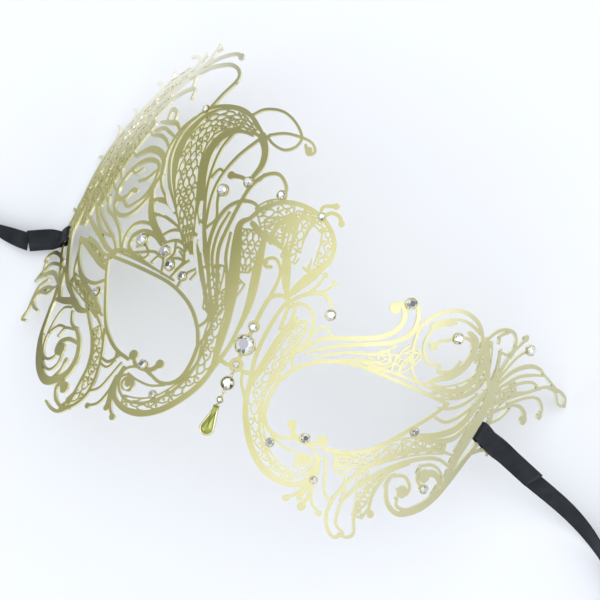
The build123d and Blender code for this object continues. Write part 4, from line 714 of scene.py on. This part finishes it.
class Outline:
    """Flat shapes in (u, v), each metal, lace, an opening for lace or a hole, united at the end."""

    def __init__(self):
        self.points, self.edges, self.cells = [], [], {}

    def patch(self, corners, kind):
        """Notes the area of a small polygon in every 1 mm cell that it may cover."""
        corners = [(c[0], c[1]) for c in corners]
        across, up = [c[0] for c in corners], [c[1] for c in corners]
        for i in range(floor(min(across)), floor(max(across)) + 1):
            for j in range(floor(min(up)), floor(max(up)) + 1):
                self.cells.setdefault((i, j), []).append((kind, corners))

    def ring(self, indices):
        self.edges += list(zip(indices, indices[1:] + indices[:1]))

    def polygon(self, points, kind):
        start = len(self.points)
        self.points += [Vector(p) for p in points]
        self.ring(list(range(start, start + len(points))))
        self.patch(points, kind)

    def stroke(self, widths, points, side=1, kind="metal", caps=True, closest=4):
        """A stroke that swells along a smooth line, with a round cap at each end."""
        line = curve_through([(u * side, v) for u, v in points], closest)
        last = len(line) - 1
        start = len(self.points)
        left, right = [], []
        for i, here in enumerate(line):
            along = (line[min(i + 1, last)] - line[max(i - 1, 0)]).normalized()
            across = Vector((-along.y, along.x)) * half_width(widths, i / last)
            left.append(here + across)
            right.append(here - across)
            if i:
                self.patch((left[-2], right[-2], right[-1]), kind)
                self.patch((left[-2], right[-1], left[-1]), kind)
        self.points += left + right
        left_indices = list(range(start, start + last + 1))
        right_indices = [i + last + 1 for i in left_indices]
        self.ring(left_indices + right_indices[::-1])
        if caps:
            self.disc(*line[0], widths[0] / 2, kind, 10)
            self.disc(*line[-1], widths[2] / 2, kind, 10)

    def disc(self, u, v, radius, kind="metal", count=18):
        self.polygon([(u + radius * cos(2 * pi * i / count), v + radius * sin(2 * pi * i / count))
                      for i in range(count)], kind)

    def fine(self, widths, points):
        """A thin stroke between other strokes, which needs no caps and few samples."""
        self.stroke(widths, points, kind="lace", caps=False, closest=2)

    def lace(self, widths, points, side, draw, pitch=2.15, weight=1.4, cut_out=False):
        """A band of open scales: staggered arches between two thin rims, about half with a curl inside."""
        rim, arch, curl = [[weight * width for width in widths_of]
                           for widths_of in ((0.34, 0.34, 0.34), (0.28, 0.34, 0.28), (0.24, 0.34, 0.5))]
        line = curve_through([(u * side, v) for u, v in points])
        run = [0.0]
        for before, here in zip(line, line[1:]):
            run.append(run[-1] + (here - before).length)

        def spot(s, f):
            """The place s mm along the band and f of the half width to its left."""
            s = min(max(s, 0), run[-1] - 1e-3)
            i = bisect_right(run, s) - 1
            along = (line[i + 1] - line[i]).normalized()
            here = line[i] + (s - run[i]) * along
            return here + f * half_width(widths, s / run[-1]) * Vector((-along.y, along.x))

        if cut_out:
            self.stroke(widths, points, side, "opening", caps=False)
        rim_runs = 12
        for f in (-1, 1):
            self.fine(rim, [spot(run[-1] * k / rim_runs, f) for k in range(rim_runs + 1)])
        for end in (0, run[-1]):
            self.fine(rim, [spot(end, f) for f in (-1, 0, 1)])
        columns = max(2, round(max(widths) / pitch))
        step = 2 / columns
        shoulder, curl_share = 0.62, 0.5
        s, row = 0.1, 0
        while s < run[-1]:
            rise = draw.uniform(0.85, 1.25) * pitch
            for column in range(columns + 1 - row % 2):
                middle = -1 + step * (column + 0.5 * (row % 2))
                low, high = max(middle - step / 2, -1), min(middle + step / 2, 1)
                if high - low < step * 0.9:
                    continue
                top = s + rise * draw.uniform(0.94, 1.04)
                self.fine(arch, [spot(s, low), spot(s + shoulder * rise, low + 0.12 * step),
                                 spot(top, middle),
                                 spot(s + shoulder * rise, high - 0.12 * step), spot(s, high)])
                if draw.random() < curl_share:
                    hand = draw.choice((-1, 1))
                    self.fine(curl, [spot(s + up * rise, middle + out * hand * step)
                                     for up, out in ((0.5, 0.42), (0.3, 0.1), (0.5, -0.06))])
            s += rise
            row += 1

    def united(self):
        """Triangles of the metal: holes cut everything, the openings of lace bands all but the lace."""
        flat = delaunay_2d_cdt(self.points, self.edges, [], 0, 1e-5)
        points, triangles = flat[0], flat[2]
        kept = []
        for triangle in triangles:
            x, y = sum((points[i] for i in triangle), Vector((0, 0))) / 3
            near = self.cells.get((floor(x), floor(y)), [])
            kinds = {kind for kind, corners in near if inside(corners, x, y)}
            if "hole" not in kinds and ("lace" in kinds or kinds == {"metal"}):
                kept.append(tuple(triangle))
        return points, kept


def draw_pattern():
    """Every stroke, seat and lace band of the sheet."""
    outline = Outline()
    draw = random.Random(7)
    for side in (1, -1):
        for stroke in both_lobes:
            outline.stroke(stroke[:3], stroke[3], side)
        for u, v, radius in both_dots:
            outline.disc(u * side, v, radius)
        for band in both_lace:
            outline.lace(band[:3], band[3], side, draw)
    for strokes, side in ((right_lobe + plume, 1), (left_lobe, -1)):
        for stroke in strokes:
            outline.stroke(stroke[:3], stroke[3], side)
    for dots, side in ((right_dots + plume_dots, 1), (left_dots, -1)):
        for u, v, radius in dots:
            outline.disc(u * side, v, radius)
    for bands, side in ((right_lace + plume_lace, 1), (left_lace, -1)):
        for band in bands:
            outline.lace(band[:3], band[3], side, draw)
    for band in cut_lace:
        outline.lace(band[:3], band[3], 1, draw, 2.6, 1.7, True)
    for band in crest_lace:
        outline.lace(band[:3], band[3], -1, draw, 2.1, 1.5)
    for tear in open_tears:
        outline.stroke(tear[:3], tear[3], 1, "hole")
    slot_half, slot_top, slot_bottom, bar_half, bar_bottom = 0.45, -6.95, -7.7, 0.8, -8.1
    outline.polygon([(-bar_half, slot_bottom), (bar_half, slot_bottom),
                     (bar_half, bar_bottom), (-bar_half, bar_bottom)], "metal")
    outline.polygon([(-slot_half, slot_top), (-slot_half, slot_bottom),
                     (slot_half, slot_bottom), (slot_half, slot_top)], "hole")
    return outline.united()


def bent(point, depth):
    """The place, in metres, of a flat (u, v) point at some depth below the sheet's front."""
    x, z, lean = section(point.x)
    return laid((x - depth * sin(lean), point.y, z - depth * cos(lean)))


def add_filigree():
    """The sheet: the united pattern given its thickness, then bent round the face."""
    points, triangles = draw_pattern()
    used = sorted({i for triangle in triangles for i in triangle})
    place = {old: new for new, old in enumerate(used)}
    triangles = [tuple(place[i] for i in triangle) for triangle in triangles]
    count = len(used)
    vertices = [bent(points[i], 0) for i in used] + [bent(points[i], sheet_thickness) for i in used]
    edges = dict.fromkeys(edge for a, b, c in triangles for edge in ((a, b), (b, c), (c, a)))
    rims = [edge for edge in edges if (edge[1], edge[0]) not in edges]
    faces = [list(t) for t in triangles]
    faces += [[c + count, b + count, a + count] for a, b, c in triangles]
    faces += [[b, a, a + count, b + count] for a, b in rims]
    which = [0] * (2 * len(triangles)) + [1] * len(rims)
    # the face gold carries gold()'s painted light; the wall gold is a paler, glossier copy of it, a painted
    # highlight along the cut edges
    materials = [gold("plated_face", (0.44, 0.42, 0.17), (0.60, 0.58, 0.36), (0.94, 0.91, 0.78), 0.28, 0.42),
                 gold("cut_edge_painted_highlight", (0.80, 0.77, 0.50), (0.92, 0.89, 0.68), (0.95, 0.92, 0.78), 0.16, 0.28)]
    sheet = new_piece("filigree", vertices, faces, materials, "mask", ["filigree_sheet"],
                      True, which)
    rim_set = {tuple(sorted(edge)) for edge in rims}
    rim_set |= {(a + count, b + count) for a, b in rim_set}
    sheet.data.attributes.new("sharp_edge", "BOOLEAN", "EDGE")
    sheet.data.attributes["sharp_edge"].data.foreach_set(
        "value", [tuple(sorted(edge.vertices)) in rim_set for edge in sheet.data.edges])
    print("filigree", len(triangles), "triangles in front,", len(rims), "edge walls")


# ---------------------------------------------------------------- stones and settings
wide_stones = [(-47.6, 17, 4), (-36.6, 16, 3.6), (-26.8, 38.4, 3.4), (37.6, 30.2, 3.4)]
middle_stones = [(-32.6, 12.6, 3.2), (18.2, 17.4, 3.2), (55.4, 27.6, 3.2), (83.2, 35.5, 3.2),
                 (-20, 43.1, 3)]
narrow_stones = [(26, -16.4, 2.8), (-26, -16.4, 2.8), (-26.8, 11, 2.8), (0, 5.4, 2.6), (66, -15, 2.6),
                 (17.6, -21.6, 2.6), (-58, -2, 2.6), (-8.9, 42.9, 2.6), (54.9, -1.7, 2.6)]
small_stones = [(4.4, 41.6, 2.2), (-47.4, 60.2, 2.2), (33, -25.8, 2.2), (-19, -23, 2.2), (0, -5.9, 2)]


def brilliant(shapes, axes, radius, height, fold=8, turn=0.0):
    """Round cut stone: girdle, two tiers of crown facets and a flat table."""
    rings = [circle(radius, 0, 2 * fold, turn), circle(radius, 0.16 * height, 2 * fold, turn)]
    shapes.rings(axes, rings, True, False)
    girdle = [Vector(p) for p in circle(radius, 0.16 * height, 2 * fold, turn)]
    stars = [Vector(p) for p in circle(0.80 * radius, 0.66 * height, fold, turn / 2)]
    table = [Vector(p) for p in circle(0.56 * radius, height, fold, turn / 2 + 0.5)]
    vertices = girdle + stars + table
    first_star, first_table = 2 * fold, 3 * fold
    faces = [list(range(first_table, first_table + fold))]
    for i in range(fold):
        j = (i + 1) % fold
        g, g1, before = 2 * i, 2 * i + 1, (2 * i - 1) % (2 * fold)
        faces += [[before, g, first_star + i], [g, g1, first_star + i],
                  [g1, first_star + j, first_table + i, first_star + i],
                  [first_table + (i - 1) % fold, first_star + i, first_table + i]]
    shapes.add(axes, vertices, faces)


def setting(shapes, axes, radius, height, prongs, turn=0.0):
    """Thin cup wall round a stone with rounded prongs over its edge."""
    outer, inner, prong_radius, reach = 1.14 * radius, 1.02 * radius, 0.15 * radius, radius + 0.02
    profile = ((inner, 0), (outer, 0), (outer, 0.42 * height), (inner, 0.48 * height), (inner, 0))
    shapes.rings(axes, [circle(r, z, 28) for r, z in profile], False, False)
    for k in range(prongs):
        a = 2 * pi * (k + turn) / prongs
        shapes.ball(axes, (reach * cos(a), reach * sin(a), 0.45 * height), prong_radius, 1.5)


def paint_facet_reflections(piece, seed):
    """Paints every facet its own brightness: painted reflections, standing in for the light that foil behind
    cut glass throws back.
    """
    draw = random.Random(seed)
    layer = piece.data.color_attributes.new("facet", "FLOAT_COLOR", "CORNER")
    for polygon in piece.data.polygons:
        value = draw.random() ** 0.8
        for loop in polygon.loop_indices:
            layer.data[loop].color = (value, value, value, 1)


def add_crystals(name, cuts, material, body, node, seed):
    """Cut stones that share one piece; each of cuts is the place and sizes that brilliant takes."""
    stones = Shapes()
    for cut in cuts:
        brilliant(stones, *cut)
    piece = new_piece(name, stones.vertices, stones.faces, [material], body, [node])
    paint_facet_reflections(piece, seed)


def add_stones(glass, trim):
    """The stones by size family, and the cups that hold them."""
    cups = Shapes()
    families = (("wide", wide_stones), ("middle", middle_stones),
                ("narrow", narrow_stones), ("small", small_stones))
    first_seed = 20
    draw = random.Random(11)
    for number, (family, places) in enumerate(families):
        cuts = []
        for u, v, diameter in places:
            turn, radius, height = draw.random(), diameter / 2 - 0.12, 0.4 * diameter
            cuts.append((seat(u, v, 0.05), radius, height, 8, turn))
            setting(cups, seat(u, v), radius, height, 4 if diameter < 3 else 6, turn)
        add_crystals(family + "_crystals", cuts, glass, "mask", family + "_stones", first_seed + number)
    new_piece("stone_cups", cups.vertices, cups.faces, [trim], "mask", (), True)
    add_crystals("centre_crystal", [(seat(0, 0, 0.3), 2.6, 2.0, 12, 0.3)], glass, "mask", "centre_stone", 31)
    cup = Shapes()
    setting(cup, seat(0, 0), 2.66, 1.9, 8, 0.25)
    new_piece("centre_setting", cup.vertices, cup.faces, [trim], "mask", ["centre_cup"], True)


# ---------------------------------------------------------------- the pendant
def pear(grow, z):
    """Pear outline about its round end: half a circle below, straight flanks, and a small round tip."""
    tip_radius, round_steps, tip_steps = 0.5, 16, 6
    span = drop_length - drop_radius - tip_radius
    large, small = drop_radius + grow, tip_radius + grow
    lean = asin((large - small) / span)
    points = []
    for i in range(round_steps + 1):
        a = lean - (pi + 2 * lean) * i / round_steps
        points.append((large * cos(a), large * sin(a), z))
    for i in range(tip_steps + 1):
        a = pi - lean - (pi - 2 * lean) * i / tip_steps
        points.append((small * cos(a), span + small * sin(a), z))
    return list(reversed(points))


def add_pendant(glass, trim, olive):
    """Top ring, link with its stone, bead, and the pear drop in its rim."""
    edge_on = Matrix.Rotation(pi / 2, 4, "Y")
    ring = Shapes()
    ring.torus(at_bridge(ring_v) @ edge_on, ring_radius, wire)
    new_piece("swing_ring", ring.vertices, ring.faces, [trim], "top_ring", ["top_ring"], True)

    link = Shapes()
    cup_axes = at_bridge(link_v, pendant_level - 0.55)
    profile = ((1.2, 0), (1.75, 0.06), (2.02, 0.3), (2.1, 0.75), (2.02, 1.08), (1.86, 1.1), (1.8, 0.5))
    link.rings(cup_axes, [circle(r, z, 32) for r, z in profile], True, False)
    beads, bead_circle = 20, 1.93
    for x, y, z in circle(bead_circle, 1.05, beads):
        link.ball(cup_axes, (x, y, z), 0.2)
    for v in (link_eye_v, lower_eye_v):
        link.torus(at_bridge(v), eyelet_radius, wire)
    new_piece("link_setting", link.vertices, link.faces, [trim], "link", ["link_cup"], True)
    link_cut = (at_bridge(link_v, pendant_level - 0.25), 1.74, 1.5, 10, 0.2)
    add_crystals("link_crystal", [link_cut], glass, "link", "link_stone", 41)

    bead = Shapes()
    bead_axes = at_bridge(bead_v, pendant_level - 0.5)
    profile = ((0.7, 0), (1.0, 0.1), (1.13, 0.5), (1.1, 0.9), (0.9, 0.98), (0.84, 0.5))
    bead.rings(bead_axes, [circle(r, z, 24) for r, z in profile], True, False)
    bead.torus(at_bridge(bail_v) @ edge_on, bail_radius, wire)
    new_piece("bead_setting", bead.vertices, bead.faces, [trim], "drop", ["bead_cup"], True)
    bead_cut = (at_bridge(bead_v, pendant_level - 0.2), 0.8, 1.0, 8, 0.6)
    add_crystals("bead_crystal", [bead_cut], glass, "drop", "bead_stone", 43)

    drop_axes = at_bridge(drop_tip_v - drop_length + drop_radius)
    rim = Shapes()
    profile = ((-0.45, -0.6), (-0.06, -0.6), (0, -0.45), (0, 0.3), (-0.1, 0.48), (-0.45, 0.52),
               (-0.56, 0.36), (-0.56, -0.2))
    rim.rings(drop_axes, [pear(grow, z) for grow, z in profile], True, False)
    new_piece("drop_rim", rim.vertices, rim.faces, [trim], "drop", ["drop_frame"], True)
    body = Shapes()
    profile = ((-0.4, -0.3), (-0.5, 0.3), (-0.7, 0.62), (-1.0, 0.84), (-1.4, 0.98))
    body.rings(drop_axes, [pear(grow, z) for grow, z in profile])
    new_piece("drop_crystal", body.vertices, body.faces, [olive], "drop", ["drop_stone"])


# ---------------------------------------------------------------- the ribbon ties
# free lengths, from the folds to the rolls, and the middles of the rolls, in the frame's mm
right_route = [(85.2, -21.5, 16.6), (92.6, -23.6, 11.6), (99.6, -26.0, 7.6), (106.8, -29.4, 4.7),
               (114.4, -34.4, 3.3), (122.5, -41.5, 3.0)]
left_route = [(-91.7, -18.2, 4.9), (-101.0, -19.0, 3.7), (-110.0, -18.6, 3.2), (-119.5, -17.9, 3.0)]
right_roll_middle = (141.3, -27.9)
left_roll_middle = (-126.8, -41.4)


def rolled(middle, start_angle, turns=3.4, outer=22.4, pitch=2.5, per_turn=16):
    """Points of the spiral in which the rest of a tie stands on its edge, wound inward."""
    points = []
    for i in range(int(turns * per_turn) + 1):
        a = start_angle + 2 * pi * i / per_turn
        r = outer - pitch * i / per_turn
        points.append((middle[0] + r * cos(a), middle[1] + r * sin(a), ribbon_width / 2))
    return points


def nurbs_line(points):
    """Evenly read points of the smooth line that a route's points steer, in metres."""
    curve = bpy.data.curves.new("route", "CURVE")
    curve.dimensions = "3D"
    curve.resolution_u = 5
    spline = curve.splines.new("NURBS")
    spline.points.add(len(points) - 1)
    for point, target in zip(points, spline.points):
        target.co = (*(c * MM for c in point), 1)
    spline.order_u = 3
    spline.use_endpoint_u = True
    holder = bpy.data.objects.new("route", curve)
    mesh = bpy.data.meshes.new_from_object(holder)
    line = [v.co.copy() for v in mesh.vertices]
    bpy.data.objects.remove(holder)
    bpy.data.meshes.remove(mesh)
    return line


def strip(name, centres, widths_to, material, replaced):
    """A flat ribbon with rounded selvedges along centres; widths_to are the directions across it."""
    half, t = ribbon_width / 2, ribbon_thickness / 2
    profile = [(-half, 0), (-half + 0.1, 0.9 * t), (-half + 0.35, t), (-half + 0.6, 0.62 * t), (0, 0.66 * t),
               (half - 0.6, 0.62 * t), (half - 0.35, t), (half - 0.1, 0.9 * t), (half, 0)]
    profile += [(x, -y) for x, y in reversed(profile[1:-1])]
    count, last = len(profile), len(centres) - 1
    vertices, faces, run = [], [], [0.0]
    for i, here in enumerate(centres):
        along = (centres[min(i + 1, last)] - centres[max(i - 1, 0)]).normalized()
        across = (widths_to[i] - widths_to[i].dot(along) * along).normalized()
        out = across.cross(along)
        vertices += [here + MM * (x * across + y * out) for x, y in profile]
        if i:
            run.append(run[-1] + (here - centres[i - 1]).length)
            for k in range(count):
                j = (k + 1) % count
                a, b = (i - 1) * count, i * count
                faces.append([a + k, a + j, b + j, b + k])
    faces.append(list(reversed(range(count))))
    faces.append(list(range(last * count, last * count + count)))
    piece = new_piece(name, vertices, faces, [material], "mask", replaced, True)
    layer = piece.data.uv_layers.new(name="ribbon")
    for polygon in piece.data.polygons:
        for loop, vertex in zip(polygon.loop_indices, polygon.vertices):
            layer.data[loop].uv = (run[vertex // count] / MM, profile[vertex % count][0])
    return piece, run[-1]


def eased(t):
    """From 0 to 1 with a soft start and a soft end."""
    t = min(max(t, 0), 1)
    return t * t * (3 - 2 * t)


def add_tie(side, route, roll, first_across, twist_ends, material):
    """Free length of a tie: out of its fold, turning onto its edge, and into its roll."""
    line = nurbs_line(route + roll)
    upright = Vector((0, 0, 1))
    widths_to = []
    gone = 0.0
    for i, here in enumerate(line):
        if i:
            gone += (here - line[i - 1]).length / MM
        widths_to.append(first_across.lerp(upright, eased(gone / twist_ends)))
    name = side + "_ribbon"
    piece, length = strip(name, line, widths_to, material, [side + "_tie", side + "_roll"])
    print(name, "length", round(length, 4))


def add_fold(side, u, v, slant, lift, length, across_end, material):
    """A tie's sewn end: round the bar, then two layers laid on each other, the upper set a little aside."""
    seat_axes = seat(u, v).to_3x3().normalized()
    sign = -1 if u < 0 else 1
    outward = sign * cos(radians(slant)) * seat_axes.col[0] - sin(radians(slant)) * seat_axes.col[1]
    out = seat_axes.col[2]
    along_bar = outward.cross(out)
    if along_bar.dot(across_end) < 0:
        along_bar = -along_bar
    origin = seat(u, v).translation
    rise = radians(lift)
    band = cos(rise) * outward + sin(rise) * out
    normal = cos(rise) * out - sin(rise) * outward
    start = origin + MM * (2.0 * outward - 0.4 * out)
    round_bar = ((1.6, 0.6), (0.4, 0.62), (-1.2, 0.6), (-1.85, 0.2), (-1.9, -0.4), (-1.85, -1.0),
                 (-1.2, -1.36), (0.4, -1.4), (1.4, -1.3))
    loop = [origin + MM * (x * outward + y * out) for x, y in round_bar]
    steps, layer = 14, 0.21
    upper = [start + MM * (length * i / steps * band + layer * normal) for i in range(1, steps + 1)]
    lower = [start + MM * (length * i / steps * band - layer * normal) for i in range(1, steps + 1)]
    line = list(reversed(upper)) + loop + lower
    turned = [along_bar.lerp(across_end, eased(i / (0.5 * steps))) for i in range(1, steps + 1)]
    widths_to = list(reversed(turned)) + [along_bar] * len(loop) + turned
    aside = 0.55 * MM
    for i in range(steps):
        line[i] = line[i] + aside * eased(2 - 2 * i / steps) * widths_to[i].normalized()
    strip(side + "_ribbon_end", line, widths_to, material, [side + "_fold"])


# ---------------------------------------------------------------- the scene
bpy.context.scene.view_settings.view_transform = "Standard"
add_camera()
ribbon = satin()
right_across = Vector((0.477, 0.78, 0.404))
left_across = Vector((-0.30, 0.90, 0.30))
add_tie("right", right_route, rolled(right_roll_middle, radians(-128)), right_across, 62, ribbon)
add_tie("left", left_route, rolled(left_roll_middle, radians(98)), left_across, 24, ribbon)
add_fold("right", 79.0, 7.0, 14, 16.5, 22, right_across, ribbon)
add_fold("left", -98.9, 12.0, 33, 38, 12, left_across, ribbon)
add_light()
add_floor()
# the trim gold carries the same painted light: paler from left to right, with its crest colour the same as
# its right colour
trim_gold = gold("trim_gold", (0.62, 0.58, 0.34), (0.80, 0.76, 0.52), (0.80, 0.76, 0.52), 0.14, 0.26)
# the dark and light colours of these crystals are the ends of the painted facet reflections
clear = crystal("clear_crystal", (0.06, 0.06, 0.07), (0.92, 0.94, 0.97))
olive_glass = crystal("olive_crystal", (0.30, 0.33, 0.04), (0.52, 0.56, 0.12))
add_filigree()
add_stones(clear, trim_gold)
add_pendant(clear, trim_gold, olive_glass)

bpy.context.view_layer.update()
